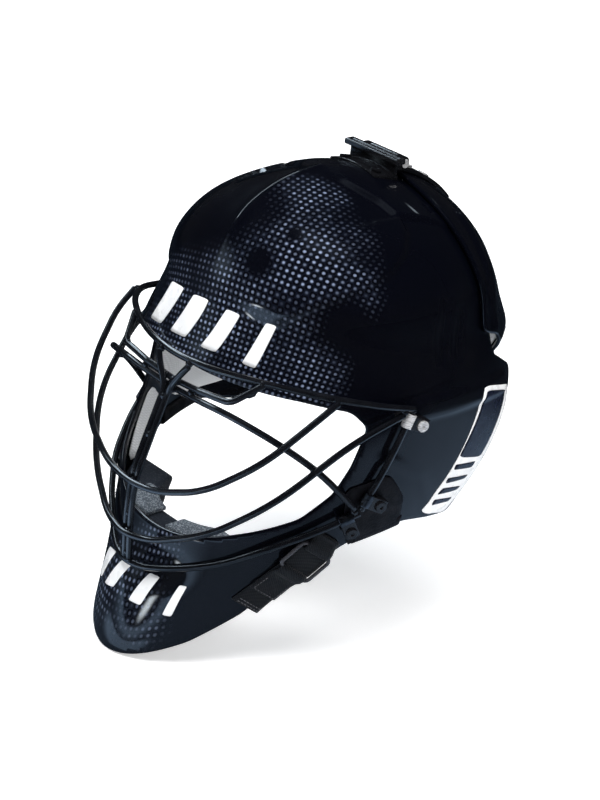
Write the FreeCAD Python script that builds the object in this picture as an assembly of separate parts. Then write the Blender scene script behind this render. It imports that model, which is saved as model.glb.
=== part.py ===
"""Goalkeeper's mask: composite shell, hinged backplate, wire face cage, straps and liner.

Millimetres. +Z is up as worn, the face looks along -Y, and +X is the wearer's left.
The origin is the centre of the head.
"""
import FreeCAD, Part
import math
import os

Vector = FreeCAD.Vector

# ---------------------------------------------------------------- driving dimensions
# Meridians of the outer surface, from the apex of the crown (row 0) past the chin (row 10)
# to row 11, which only carries the surface on below the trimmed edge.
FRONT = [(-12, 105), (-48, 100.5), (-77, 85), (-94, 60), (-102, 33), (-109, 10),
         (-117, -9), (-121, -60), (-132, -115), (-146, -148), (-160, -187),
         (-171, -226)]
SIDE = [(0, -12, 105), (39.5, -5, 92.5), (73, 0, 74), (94, 2, 49), (100, 5, 20), (108, 6, -8),
        (109, 6, -35), (107, 2, -68), (99, -10, -104), (85, -28, -140), (68, -55, -180),
        (51, -82, -220)]
REAR = [(-12, 105), (33, 97.5), (70.5, 80.5), (93.5, 56), (105, 26), (116, -6),
        (126, -34), (122, -60), (110, -95), (95, -125), (80, -155), (66, -186)]
# Squareness of each row in plan: 1 is an ellipse, less is squarer.
FRONT_SQUARENESS = [1, 1, 1, 0.98, 0.93, 0.87, 0.82, 0.85, 0.92, 1, 1, 1]
REAR_SQUARENESS = [1, 1, 1, 0.97, 0.92, 0.87, 0.82, 0.82, 0.85, 0.9, 0.9, 0.9]
RING_ROWS = [0.15, 0.5, 1, 1.5, 2, 2.5, 3, 3.5, 4, 4.25, 4.5, 4.75,
             5, 5.5, 6, 6.5, 7, 7.5, 8, 8.5, 9, 9.5, 10, 10.5, 11]
HALF_RING_STEPS = 18
FLOOR_Z = -262            # level that closes the half heads, far below the jaw
ACROSS_MIDDLE = -10       # side-view outlines start here, past the middle of the head,
OFF_MIDDLE = 20           # or here where a part lies on one side only,
OUTSIDE = 160             # and end here, outside the head

SHELL_T = 3.0             # laminate thickness of the shell and the backplate
SKIN_GAP = 0.4            # air between a laminate and the pad glued behind it
PAD_T = 10.0              # comfort foam thickness
BAND_GAP = 0.3            # air between the forehead pad and the sweatband
BAND_T = 2.5
CLIP_W = 9.0              # cage clip strip, width along the wire
CLIP_T = 1.1
CLIP_REACH = 13.0

STRAP_LIFT = 0.3          # air between the shell and what is strapped over it
STRAP_T = 2.0             # webbing thickness
FLAP_T = 1.2              # cheek flap thickness
WEBBING_W = 18.0          # jaw strap webbing width

BACK_GAP = 1.0            # running gap between the shell and the backplate over it
BACK_TUCK = 9.0           # how far the backplate's waist sits inside the shell's wings
SKIRT_TUCK = 3.0          # further set-in of the skirt below the waist

HINGE_Y = 38.0            # crown hinge axis, parallel to X
HINGE_Z = 105.5
PIN_R = 2.0
PIN_BORE_R = 2.05
KNUCKLE_R = 4.4
KNUCKLE_HALF = 13.2
PIN_HEAD_R = 2.9
PIN_HEAD_T = 0.9
PIN_PLAY = 0.4            # end play of the pin between its heads
ARM_T = 3.0
ARM_SEAT = 0.2            # air between the rear arm and the backplate
ARM_OUTLINE = [(40, 130, 0), (40, 80, 0), (84, 60, 0), (92, 90, 0), (92, 130, 0)]
WEB_REACH = 7.0
WEB_DROP = 6.0
EAR_IN = 13.6             # inner and outer face of each hinge ear
EAR_OUT = 17.6

CLIP_HALF = 20.5          # crown clip: wall half width
LIP_HALF = 24.2
WALL_Y = 27.0
WALL_T = 2.6
LIP_TOP_Z = 111.5
LIP_T = 3.6
LIP_OVERHANG = 2.4        # of the lip past each face of the wall
GROOVE_W = 1.4
GROOVE_DEPTH = 0.8
FOOT_FRONT_Y = 10.0
FOOT_REAR_Y = 31.0
FOOT_T = 3.0
FOOT_SEAT = 0.2           # air between the foot and the shell

WIRE_R = 2.1              # cage wire
BAR_OFFSET = 2.15         # half the spacing of the twin centre bars

SCREW_R = 2.0
SCREW_HOLE_R = 2.2
SCREW_HEAD_R = 3.6
SCREW_HEAD_H = 1.6
SLOT_R = 1.1              # round recess in the screw head
NUT_R = 3.8
NUT_H = 2.4
NUT_CLEAR = 0.6           # the flat nut stands off the curved laminate
NUT_PLAY = 0.05
POCKET_R = 5.0            # hole in the pad over a nut
SCREW_BACK = 9.0          # cage clip screw, behind the wire
CROWN_SCREW_X = 14.0
CROWN_SCREW_Y = 17.0
RIVET_YS = (58.0, 74.0)
RIVET_R = 2.0
RIVET_HOLE_R = 2.05
RIVET_HEAD_R = 3.8
RIVET_HEAD_H = 1.3

BUCKLE_WIRE_R = 1.2
BUCKLE_LENGTH = 19.0      # along the strap, wire centre to wire centre
BUCKLE_WIDTH = 25.0
BUCKLE_AT = (-78.0, -108.5)        # side-view place of the buckle's middle
STRAP_RUN = (-0.60, -0.80)         # side-view direction of the jaw strap, towards the chin
ANCHOR_REACH = 20.0
FOLD_R = BUCKLE_WIRE_R + 1.5       # webbing folded round the buckle's rear bar
FOLD_BORE_R = BUCKLE_WIRE_R + 0.25
TAIL_START = 12.0
TAIL_END = 44.0                    # end of the free tail, from the buckle's middle

# Cage wires as bends from the middle of the face outwards to the wearer's left.
TOP_WIRE = [(0, -120, 4), (28, -117, 5), (53, -108, 6), (79, -92, 5), (98, -72, 2),
            (108, -47, -4), (111.5, -26, -9)]
SIDE_WIRE = [(111.5, -26, -9), (109.5, -39, -41), (104.5, -55, -75)]
CHIN_WIRE = [(0, -148, -130), (12, -145, -130), (24, -139, -127), (37, -131, -123),
             (55, -119.5, -115), (75, -103, -101), (93, -78, -87), (104.5, -55, -75)]
BROW_LOOP = [(0, -120.2, -12.5), (25, -121.3, -10), (51, -118.5, -8), (63.5, -102, 6)]
CROSS_WIRE = [(0, -120.5, -18), (25, -122.5, -15.5), (55, -121, -14), (83, -105, -25),
              (95.5, -80, -46), (104.5, -55, -75)]
UPPER_HOOP = [(0, -151.5, -73), (25, -148, -71), (57, -139, -59), (84, -118, -34),
              (96, -92, -9), (99, -74, 3)]
LOWER_HOOP = [(0, -153.8, -108), (22, -148, -106), (56, -133, -91), (88, -109.5, -61),
              (105.5, -68, -24), (111.5, -28, -10)]
CENTRE_BAR = [(0, -125, -17), (0, -136, -45), (0, -147, -74), (0, -148.5, -103),
              (0, -147.5, -130)]
VEE_BAR = [(0, -125, -17), (7, -124, -6), (14, -121, 4)]


# ---------------------------------------------------------------- outer surface
def catmull(before, start, end, after, t):
    """Value at t between start and end of a Catmull-Rom span."""
    slope_0 = (end - before) / 2
    slope_1 = (after - start) / 2
    return ((2 * t ** 3 - 3 * t ** 2 + 1) * start + (t ** 3 - 2 * t ** 2 + t) * slope_0
            + (3 * t ** 2 - 2 * t ** 3) * end + (t ** 3 - t ** 2) * slope_1)


def along(rows, beyond, row):
    """Interpolate a meridian; beyond is its value one row past the apex."""
    last = len(rows) - 1
    i = min(max(int(math.floor(row)), 0), last - 1)
    before = beyond if i == 0 else rows[i - 1]
    after = 2 * rows[last] - rows[last - 1] if i + 2 > last else rows[i + 2]
    return catmull(before, rows[i], rows[i + 1], after, row - i)


def column(table, k):
    return [entry[k] for entry in table]


def surface_point(row, angle):
    """Point of the outer surface; angle 0 is the front, 90 the wearer's left."""
    a = math.radians(angle)
    c = math.cos(a)
    s = math.sin(a)
    end, other = (FRONT, REAR) if c >= 0 else (REAR, FRONT)
    squareness = FRONT_SQUARENESS if c >= 0 else REAR_SQUARENESS
    end_y = along(column(end, 0), other[1][0], row)
    end_z = along(column(end, 1), other[1][1], row)
    side_x = along(column(SIDE, 0), -SIDE[1][0], row)
    side_y = along(column(SIDE, 1), SIDE[1][1], row)
    side_z = along(column(SIDE, 2), SIDE[1][2], row)
    p = along(squareness, squareness[1], row)
    reach = abs(c) ** p
    x = side_x * math.copysign(abs(s) ** p, s)
    y = side_y + (end_y - side_y) * reach
    z = side_z + (end_z - side_z) * c * c
    return Vector(x, y, z)


def inset_point(row, angle, inset):
    """Point set in from the outer surface along its normal."""
    here = surface_point(row, angle)
    step = 0.02
    down = surface_point(row + step, angle) - surface_point(row - step, angle)
    round_ = surface_point(row, angle + 0.5) - surface_point(row, angle - 0.5)
    normal = down.cross(round_)
    normal.normalize()
    if normal.dot(here - Vector(0, 0, -20)) < 0:
        normal = normal * -1
    return here - normal * inset


def half_ring(row, inset, level=None):
    """Points from the front middle round the wearer's left to the back middle."""
    points = []
    for i in range(HALF_RING_STEPS + 1):
        p = inset_point(row, 180.0 * i / HALF_RING_STEPS, inset)
        if i in (0, HALF_RING_STEPS):
            p.x = 0
        if level is not None:
            p.z = level
        points.append(p)
    return points


def half_head(inset_of_row):
    """Left half of the head form; its surface is inset by a function of the row."""
    first = RING_ROWS[0]
    last = RING_ROWS[-1]
    grid = [half_ring(first, inset_of_row(first), FRONT[0][1] - inset_of_row(first))]
    grid += [half_ring(row, inset_of_row(row)) for row in RING_ROWS[1:]]
    grid.append(half_ring(last, inset_of_row(last), FLOOR_Z))
    surface = Part.BSplineSurface()
    surface.interpolate(grid)
    skin = surface.toShape()
    middle_edges = []
    caps = []
    for edge in skin.Edges:
        low, high = edge.ParameterRange
        if abs(edge.valueAt((low + high) / 2).x) < 1e-6:
            middle_edges.append(edge)
            continue
        closer = Part.LineSegment(edge.Vertexes[0].Point, edge.Vertexes[1].Point).toShape()
        caps.append(Part.Face(Part.Wire([edge, closer])))
        middle_edges.append(closer)
    middle = Part.Face(Part.Wire(Part.sortEdges(middle_edges)[0]))
    solid = Part.Solid(Part.Shell([skin, middle] + caps))
    if solid.Volume < 0:
        solid.reverse()
    return solid


def even(inset):
    return half_head(lambda row: inset)


# ---------------------------------------------------------------- outlines and regions
def rounded_wire(corners):
    """Closed wire in the YZ plane; each corner is (y, z, radius)."""
    count = len(corners)
    ends = []
    for i in range(count):
        y, z, r = corners[i]
        here = Vector(0, y, z)
        back = Vector(0, corners[i - 1][0], corners[i - 1][1]) - here
        ahead = Vector(0, corners[(i + 1) % count][0], corners[(i + 1) % count][1]) - here
        back.normalize()
        ahead.normalize()
        if r == 0:
            ends.append((here, None, here))
            continue
        half = back.getAngle(ahead) / 2
        cut = r / math.tan(half)
        middle = back + ahead
        middle.normalize()
        crown = here + middle * (r / math.sin(half) - r)
        ends.append((here + back * cut, crown, here + ahead * cut))
    edges = []
    for i in range(count):
        start, crown, stop = ends[i]
        if crown is not None:
            edges.append(Part.Arc(start, crown, stop).toShape())
        following = ends[(i + 1) % count][0]
        if (following - stop).Length > 1e-4:
            edges.append(Part.LineSegment(stop, following).toShape())
    return Part.Wire(edges)


def side_prism(corners, x_low, x_high):
    """Side-view outline pushed across the head from x_low to x_high."""
    face = Part.Face(rounded_wire(corners))
    face.translate(Vector(x_low, 0, 0))
    return face.extrude(Vector(x_high - x_low, 0, 0))


def box(x_low, x_high, y_low, y_high, z_low, z_high):
    return Part.makeBox(x_high - x_low, y_high - y_low, z_high - z_low,
                        Vector(x_low, y_low, z_low))


def mirrored(shape):
    return shape.mirror(Vector(0, 0, 0), Vector(1, 0, 0))


def whole(left_half):
    """Join a left half to its mirror image across the middle of the head."""
    return left_half.fuse(mirrored(left_half)).removeSplitter()


def both_sides(left_shapes):
    """The left shapes and their mirror images."""
    return left_shapes + [mirrored(shape) for shape in left_shapes]


def drilled(shape, holes):
    for hole in holes:
        shape = shape.cut(hole)
    return shape


# ---------------------------------------------------------------- places on the surface
def hit(origin, direction, solid):
    """Last point where a ray leaves the solid."""
    ray = Part.LineSegment(origin, origin + direction * 300).toShape()
    inside = ray.common(solid)
    return max((v.Point for v in inside.Vertexes), key=lambda p: (p - origin).dot(direction))


def surface_frame(y, z, solid):
    """Point on the wearer's left side at (y, z), and the outward normal there."""
    across = Vector(1, 0, 0)
    here = hit(Vector(0, y, z), across, solid)
    along_y = hit(Vector(0, y + 2, z), across, solid) - here
    along_z = hit(Vector(0, y, z + 2), across, solid) - here
    normal = along_y.cross(along_z)
    normal.normalize()
    return here, normal


def crown_frame(x, y, solid):
    """Point on the crown at (x, y), and the outward normal there."""
    up = Vector(0, 0, 1)
    here = hit(Vector(x, y, 0), up, solid)
    along_x = hit(Vector(x + 2, y, 0), up, solid) - here
    along_y = hit(Vector(x, y + 2, 0), up, solid) - here
    normal = along_x.cross(along_y)
    normal.normalize()
    return here, normal


# ---------------------------------------------------------------- wires
def bent_path(points, largest=400.0):
    """Straight runs joined by tangent arcs as large as the runs allow."""
    edges = []
    at = points[0]
    for i in range(1, len(points) - 1):
        back = points[i - 1] - points[i]
        ahead = points[i + 1] - points[i]
        shorter = min(back.Length, ahead.Length)
        turn = math.pi - back.getAngle(ahead)
        if turn < 0.01:
            continue
        radius = min(0.45 * shorter / math.tan(turn / 2), largest)
        cut = radius * math.tan(turn / 2)
        back.normalize()
        ahead.normalize()
        middle = back + ahead
        middle.normalize()
        crown = points[i] + middle * (radius / math.cos(turn / 2) - radius)
        start = points[i] + back * cut
        stop = points[i] + ahead * cut
        edges.append(Part.LineSegment(at, start).toShape())
        edges.append(Part.Arc(start, crown, stop).toShape())
        at = stop
    edges.append(Part.LineSegment(at, points[-1]).toShape())
    return Part.Wire(edges)


def tube(points, radius, largest=400.0):
    path = bent_path(points, largest)
    heading = points[1] - points[0]
    circle = Part.Wire(Part.makeCircle(radius, points[0], heading))
    solid = path.makePipeShell([circle], True, False)
    return solid


def across_face(half):
    """Full symmetric list of bends from the half that starts at the middle."""
    left = [Vector(*p) for p in half]
    right = [Vector(-p[0], p[1], p[2]) for p in reversed(half[1:])]
    return right + left


def trimmed(points, first, last):
    """Bends with the two end runs shortened by first and last."""
    ahead = points[1] - points[0]
    back = points[-2] - points[-1]
    ahead.normalize()
    back.normalize()
    return [points[0] + ahead * first] + points[1:-1] + [points[-1] + back * last]


def half_wire(half):
    return [Vector(*p) for p in half]


# ---------------------------------------------------------------- fasteners
def screw(at, normal, depth):
    """Button-headed screw whose head sits on the point and shank goes inwards."""
    shank = Part.makeCylinder(SCREW_R, depth, at, normal * -1)
    head = Part.makeCylinder(SCREW_HEAD_R, SCREW_HEAD_H, at, normal)
    slot = Part.makeCylinder(SLOT_R, SCREW_HEAD_H, at + normal * (SCREW_HEAD_H * 0.5), normal)
    return head.fuse(shank).cut(slot)


def nut(at, normal):
    """Round T-nut under the laminate, threaded bore along the normal."""
    body = Part.makeCylinder(NUT_R, NUT_H, at, normal * -1)
    bore = Part.makeCylinder(SCREW_R + NUT_PLAY, NUT_H * 3, at + normal, normal * -1)
    return body.cut(bore)


# ---------------------------------------------------------------- shell and backplate
SHELL_OUTLINE = [(-190, 150, 0), (48, 150, 0), (48, 104, 60), (56, 44, 30), (56, 4, 7),
                 (83, -13, 4), (33, -103, 6), (-16, -93, 40), (-52, -100, 30),
                 (-78, -119, 30), (-106, -151, 30), (-131, -171, 30), (-160, -189, 0),
                 (-190, -189, 0)]
FACE_OUTLINE = [(-230, -1, 0), (-112, -1, 40), (-86, -4.5, 40), (-61, -10, 12),
                (-52, -20, 6), (-60, -46, 30), (-68, -64, 20), (-84, -81, 20),
                (-112, -96, 20), (-138, -112, 20), (-230, -112, 0)]
BACK_OUTLINE = [(37, 150, 0), (37, 104, 60), (44, 42, 20), (44, 21, 5), (61, 14, 5),
                (71, -2, 8), (71, -50, 8), (122, -66, 10), (170, -66, 0), (170, 150, 0)]


def backplate_inset(row):
    """Outside the shell over the crown and sides, tucked inside its wings below."""
    outside = -(BACK_GAP + SHELL_T)
    t = min(max((row - 4.35) / 0.65, 0), 1)
    skirt = min(max(row - 5, 0), 1)
    return (outside + (BACK_TUCK - outside) * t * t * (3 - 2 * t)
            + SKIRT_TUCK * skirt * skirt * (3 - 2 * skirt))


def backplate_layer(outer, inner, region):
    """Left half of a layer between two depths below the backplate's outer face."""
    outside = half_head(lambda row: backplate_inset(row) + outer)
    inside = half_head(lambda row: backplate_inset(row) + inner)
    return outside.common(region).cut(inside)


def make_shell(outer, inner, left_holes):
    half = outer.common(side_prism(SHELL_OUTLINE, ACROSS_MIDDLE, OUTSIDE)).cut(inner)
    half = half.cut(side_prism(FACE_OUTLINE, ACROSS_MIDDLE, OUTSIDE))
    return whole(drilled(half, left_holes))


def make_backplate(holes):
    half = backplate_layer(0, SHELL_T, side_prism(BACK_OUTLINE, ACROSS_MIDDLE, OUTSIDE))
    return drilled(whole(half), holes)


# ---------------------------------------------------------------- crown clip and hinge
def x_cylinder(radius, half):
    return Part.makeCylinder(radius, 2 * half, Vector(-half, HINGE_Y, HINGE_Z), Vector(1, 0, 0))


def make_crown_clip(foot_under, foot_over, holes):
    """Foot on the crown, upright wall, grooved lip, and two ears for the pin."""
    foot = foot_over.common(box(-1, CLIP_HALF, FOOT_FRONT_Y, FOOT_REAR_Y, 60, 130))
    wall = box(0, CLIP_HALF, WALL_Y, WALL_Y + WALL_T, 85, LIP_TOP_Z - 1)
    lip = box(0, LIP_HALF, WALL_Y - LIP_OVERHANG, WALL_Y + WALL_T + LIP_OVERHANG,
              LIP_TOP_Z - LIP_T, LIP_TOP_Z)
    groove_y = WALL_Y + (WALL_T - GROOVE_W) / 2
    groove = box(-1, LIP_HALF - 2, groove_y, groove_y + GROOVE_W,
                 LIP_TOP_Z - GROOVE_DEPTH, LIP_TOP_Z + 1)
    cheek = box(EAR_IN, EAR_OUT, WALL_Y + 1, HINGE_Y, HINGE_Z - KNUCKLE_R, HINGE_Z + KNUCKLE_R)
    eye = Part.makeCylinder(KNUCKLE_R, EAR_OUT - EAR_IN, Vector(EAR_IN, HINGE_Y, HINGE_Z),
                            Vector(1, 0, 0))
    half = foot.fuse([wall, lip, cheek, eye]).cut(groove).cut(foot_under)
    return drilled(whole(half), [x_cylinder(PIN_BORE_R, LIP_HALF)] + holes)


def make_hinge_pin():
    """Plain pin with a flange head at each end."""
    reach = EAR_OUT + PIN_PLAY
    pin = x_cylinder(PIN_R, reach)
    for side in (-1, 1):
        start = Vector(side * reach, HINGE_Y, HINGE_Z)
        pin = pin.fuse(Part.makeCylinder(PIN_HEAD_R, PIN_HEAD_T, start, Vector(side, 0, 0)))
    return pin


def make_rear_arm(holes):
    """Knuckle on the pin and a strap that runs down the outside of the backplate."""
    width = KNUCKLE_HALF - 0.4
    strap = backplate_layer(-ARM_T, -ARM_SEAT, side_prism(ARM_OUTLINE, ACROSS_MIDDLE, width))
    web = box(0, width, HINGE_Y, HINGE_Y + WEB_REACH, HINGE_Z - WEB_DROP, HINGE_Z)
    web = web.cut(half_head(lambda row: backplate_inset(row) - ARM_SEAT))
    knuckle = x_cylinder(KNUCKLE_R, KNUCKLE_HALF)
    arm = whole(strap.fuse(web)).fuse(knuckle)
    return drilled(arm, [x_cylinder(PIN_BORE_R, LIP_HALF)] + holes)


# ---------------------------------------------------------------- cage clips
def make_cage_clip(at, normal, rear, under):
    """Folded strip that wraps the wire and lies on the shell behind it."""
    tangent = normal.cross(rear)
    inner = WIRE_R + 0.1
    start = at - tangent * (CLIP_W / 2)
    wrap = Part.makeCylinder(inner + CLIP_T, CLIP_W, start, tangent)
    eye = Part.makeCylinder(inner, CLIP_W, start, tangent)
    frame = FreeCAD.Matrix(rear.x, tangent.x, normal.x, start.x,
                           rear.y, tangent.y, normal.y, start.y,
                           rear.z, tangent.z, normal.z, start.z,
                           0, 0, 0, 1)
    # The two legs and the packing between them, rearwards of the wire.
    legs = Part.makeBox(CLIP_REACH, CLIP_W, 2 * (inner + CLIP_T), Vector(0, 0, -inner - CLIP_T))
    legs = legs.cut(Part.makeBox(inner + 3, CLIP_W, 2 * inner, Vector(0, 0, -inner)))
    legs.transformShape(frame)
    return wrap.fuse(legs).cut(eye).cut(under)


def clip_stations(outer):
    """Point on the wire, outward normal and rearward direction of each left-side clip."""
    stations = {}
    for name, start, stop, share, away in (
            ("upper", SIDE_WIRE[0], SIDE_WIRE[1], 0.22, Vector(0, 1, 0)),
            ("cheek", SIDE_WIRE[1], SIDE_WIRE[2], 0.74, Vector(0, 1, 0)),
            ("jaw", CHIN_WIRE[7], CHIN_WIRE[6], 0.3, Vector(0, 0.4, -1))):
        run = Vector(*stop) - Vector(*start)
        at = Vector(*start) + run * share
        run.normalize()
        normal = surface_frame(at.y, at.z, outer)[1]
        normal = normal - run * normal.dot(run)
        normal.normalize()
        rear = run.cross(normal)
        if rear.dot(away) < 0:
            rear = rear * -1
        stations[name] = (at, normal, rear)
    return stations


# ---------------------------------------------------------------- jaw strap and buckle
def buckle_frame(outer):
    """Centres of the buckle's rear and front bars on the shell, and the outward normal."""
    middle, normal = surface_frame(BUCKLE_AT[0], BUCKLE_AT[1], outer)
    further = [BUCKLE_AT[k] + STRAP_RUN[k] * 5 for k in (0, 1)]
    ahead = surface_frame(further[0], further[1], outer)[0]
    forward = ahead - middle
    forward = forward - normal * forward.dot(normal)
    forward.normalize()
    raised = middle + normal * (STRAP_LIFT + STRAP_T + BUCKLE_WIRE_R + 0.4)
    rear_bar = raised - forward * (BUCKLE_LENGTH / 2)
    front_bar = raised + forward * (BUCKLE_LENGTH / 2)
    return rear_bar, front_bar, forward, normal


def make_buckle(rear_bar, front_bar, across):
    """Rectangular wire ring that the webbing passes through."""
    half = across * (BUCKLE_WIDTH / 2)
    corners = [rear_bar, rear_bar + half, front_bar + half, front_bar - half,
               rear_bar - half, rear_bar]
    path = bent_path(corners, 3.0)
    circle = Part.Wire(Part.makeCircle(BUCKLE_WIRE_R, rear_bar, across))
    return path.makePipeShell([circle], True, False)


def strap_region(start, stop):
    """Side-view band of webbing width along the strap, measured from the buckle's middle."""
    run_y, run_z = STRAP_RUN
    half = WEBBING_W / 2
    corners = []
    for distance, side in ((start, -1), (stop, -1), (stop, 1), (start, 1)):
        corners.append((BUCKLE_AT[0] + run_y * distance - run_z * side * half,
                        BUCKLE_AT[1] + run_z * distance + run_y * side * half, 0))
    return side_prism(corners, OFF_MIDDLE, OUTSIDE)


def webbing(start, stop, strap_under, strap_over):
    return strap_over.common(strap_region(start, stop)).cut(strap_under)


def make_strap_anchor(rear_bar, across, strap_under, strap_over):
    """Short webbing sewn round the buckle's rear bar."""
    strip = webbing(-ANCHOR_REACH, -BUCKLE_LENGTH / 2 + 1.5, strap_under, strap_over)
    start = rear_bar - across * (WEBBING_W / 2)
    fold = Part.makeCylinder(FOLD_R, WEBBING_W, start, across)
    bore = Part.makeCylinder(FOLD_BORE_R, WEBBING_W, start, across)
    return strip.fuse(fold).cut(bore).cut(strap_under)


# Side-view outlines of the flap: on the outside, under the jaw edge, and inside.
FLAP_OUTLINE = [(-62, -60, 5), (-34, -53, 8), (-20, -72, 12), (-17, -110, 0), (-50, -110, 0),
                (-60, -84, 8)]
FLAP_TURN = [(-50, -100.4, 0), (-17, -94.0, 0), (-17, -95.9, 0), (-50, -102.3, 0)]
FLAP_TUCK = [(-50, -102.3, 0), (-17, -95.9, 0), (-17, -86, 0), (-50, -92, 0)]


def one_side(outline):
    return side_prism(outline, OFF_MIDDLE, OUTSIDE)


def make_cheek_flap(strap_under, cutters):
    """Leather-like flap that wraps the jaw edge below the cage's corner."""
    over = even(-STRAP_LIFT - FLAP_T)
    inside = even(SHELL_T + STRAP_LIFT + FLAP_T)
    face = over.common(one_side(FLAP_OUTLINE)).cut(strap_under)
    face = face.common(one_side(SHELL_OUTLINE))
    turn = over.common(one_side(FLAP_TURN)).cut(inside)
    tuck = even(SHELL_T + STRAP_LIFT).common(one_side(FLAP_TUCK)).cut(inside)
    flap = drilled(face.fuse([turn, tuck]), cutters)
    return max(flap.Solids, key=lambda solid: solid.Volume)


# ---------------------------------------------------------------- liner
FOREHEAD_PAD = [(-150, 14, 0), (-150, 62, 0), (-84, 62, 6), (-64, 14, 6)]
SWEATBAND = [(-150, 16, 0), (-150, 42, 0), (-70, 42, 4), (-60, 16, 4)]
SIDE_PAD = [(-46, 2, 8), (-34, 52, 10), (26, 58, 10), (44, 12, 10), (40, -60, 12),
            (6, -84, 12), (-40, -84, 10), (-54, -62, 8), (-46, -28, 8)]
JAW_PAD = [(-59, -68, 3), (-60, -90, 6), (-80, -107, 6), (-104, -107, 5), (-84, -88, 8),
           (-68, -72, 4)]
CROWN_PAD = [(-56, 150, 0), (-56, 78, 0), (4, 78, 0), (4, 150, 0)]
REAR_PAD = [(72, 68, 8), (76, -2, 6), (76, -44, 8), (116, -56, 8), (170, -56, 0), (170, 76, 0),
            (80, 76, 4)]
CHIN_FOAM = [(-190, -110, 0), (-72, -110, 3), (-80, -118.5, 0), (-104, -148, 6),
             (-126, -162, 6), (-190, -162, 0)]
CHIN_HOLLOW_R = 46.0
CHIN_HOLLOW_Y = -66.0


def chin_hollow():
    return Part.makeCylinder(CHIN_HOLLOW_R, 200, Vector(0, CHIN_HOLLOW_Y, -250))


def pad(outline, back, face, x_low=ACROSS_MIDDLE):
    """Left half of a pad between two depths inside a side-view outline."""
    return back.common(side_prism(outline, x_low, OUTSIDE)).cut(face)


def make_liner(pockets):
    """Pads glued inside the shell and the backplate."""
    back = even(SHELL_T + SKIN_GAP)
    face = even(SHELL_T + SKIN_GAP + PAD_T)
    band_back = even(SHELL_T + SKIN_GAP + PAD_T + BAND_GAP)
    band_face = even(SHELL_T + SKIN_GAP + PAD_T + BAND_GAP + BAND_T)
    liner = {}
    liner["forehead_pad"] = whole(pad(FOREHEAD_PAD, back, face))
    liner["sweatband"] = whole(pad(SWEATBAND, band_back, band_face))
    liner["crown_pad"] = whole(pad(CROWN_PAD, back, face))
    side_pad = drilled(pad(SIDE_PAD, back, face, OFF_MIDDLE), pockets)
    jaw_pad = drilled(pad(JAW_PAD, back, face, OFF_MIDDLE), pockets)
    for name, shape in (("side_pad", side_pad), ("jaw_pad", jaw_pad)):
        liner[name + "_left"] = shape
        liner[name + "_right"] = mirrored(shape)
    rear = backplate_layer(SHELL_T + SKIN_GAP, SHELL_T + SKIN_GAP + PAD_T,
                           side_prism(REAR_PAD, ACROSS_MIDDLE, OUTSIDE))
    liner["rear_pad"] = whole(rear)
    foam = back.common(side_prism(CHIN_FOAM, ACROSS_MIDDLE, OUTSIDE)).cut(chin_hollow())
    liner["chin_foam"] = whole(foam)
    insert = back.common(box(9, 40, -140, -100, -109.6, -106.6)).cut(chin_hollow())
    liner["chin_foam_inserts"] = Part.makeCompound([insert, mirrored(insert)])
    return liner


# ---------------------------------------------------------------- assembly
def fastened_clips(outer, inner, lifted):
    """Cage clips, screws, nuts, the shell's holes and the pads' pockets, left side first."""
    clips = {}
    screws = []
    nuts = []
    holes = []
    pockets = []
    for name, (at, normal, rear) in clip_stations(outer).items():
        head_at = at + rear * SCREW_BACK + normal * (WIRE_R + 0.1 + CLIP_T)
        bore = Part.makeCylinder(SCREW_HOLE_R, 30, head_at + normal * 5, normal * -1)
        under = hit(head_at - normal * 40, normal, inner)
        screws.append(screw(head_at, normal, (head_at - under).Length + NUT_H + NUT_CLEAR))
        nuts.append(nut(under - normal * NUT_CLEAR, normal))
        holes.append(bore)
        pockets.append(Part.makeCylinder(POCKET_R, 20, under + normal * 2, normal * -1))
        clips[name] = make_cage_clip(at, normal, rear, lifted).cut(bore)
    return clips, screws, nuts, holes, pockets


def crown_fasteners(top, inner):
    at, normal = crown_frame(CROWN_SCREW_X, CROWN_SCREW_Y, top)
    under = hit(at - normal * 40, normal, inner)
    left_screw = screw(at, normal, (at - under).Length + NUT_H + NUT_CLEAR)
    left_nut = nut(under - normal * NUT_CLEAR, normal)
    left_hole = Part.makeCylinder(SCREW_HOLE_R, 30, at + normal * 5, normal * -1)
    return both_sides([left_screw]), both_sides([left_nut]), both_sides([left_hole])


def arm_rivets():
    """Rivets through the rear arm and the backplate on the middle line, and their holes."""
    top = half_head(lambda row: backplate_inset(row) - ARM_T)
    rivets = []
    holes = []
    for y in RIVET_YS:
        at, normal = crown_frame(0.01, y, top)
        normal.x = 0
        normal.normalize()
        at.x = 0
        shank = Part.makeCylinder(RIVET_R, ARM_T + SHELL_T + 0.3, at, normal * -1)
        rivets.append(Part.makeCylinder(RIVET_HEAD_R, RIVET_HEAD_H, at, normal).fuse(shank))
        holes.append(Part.makeCylinder(RIVET_HOLE_R, 12, at + normal * 3, normal * -1))
    return rivets, holes


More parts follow.
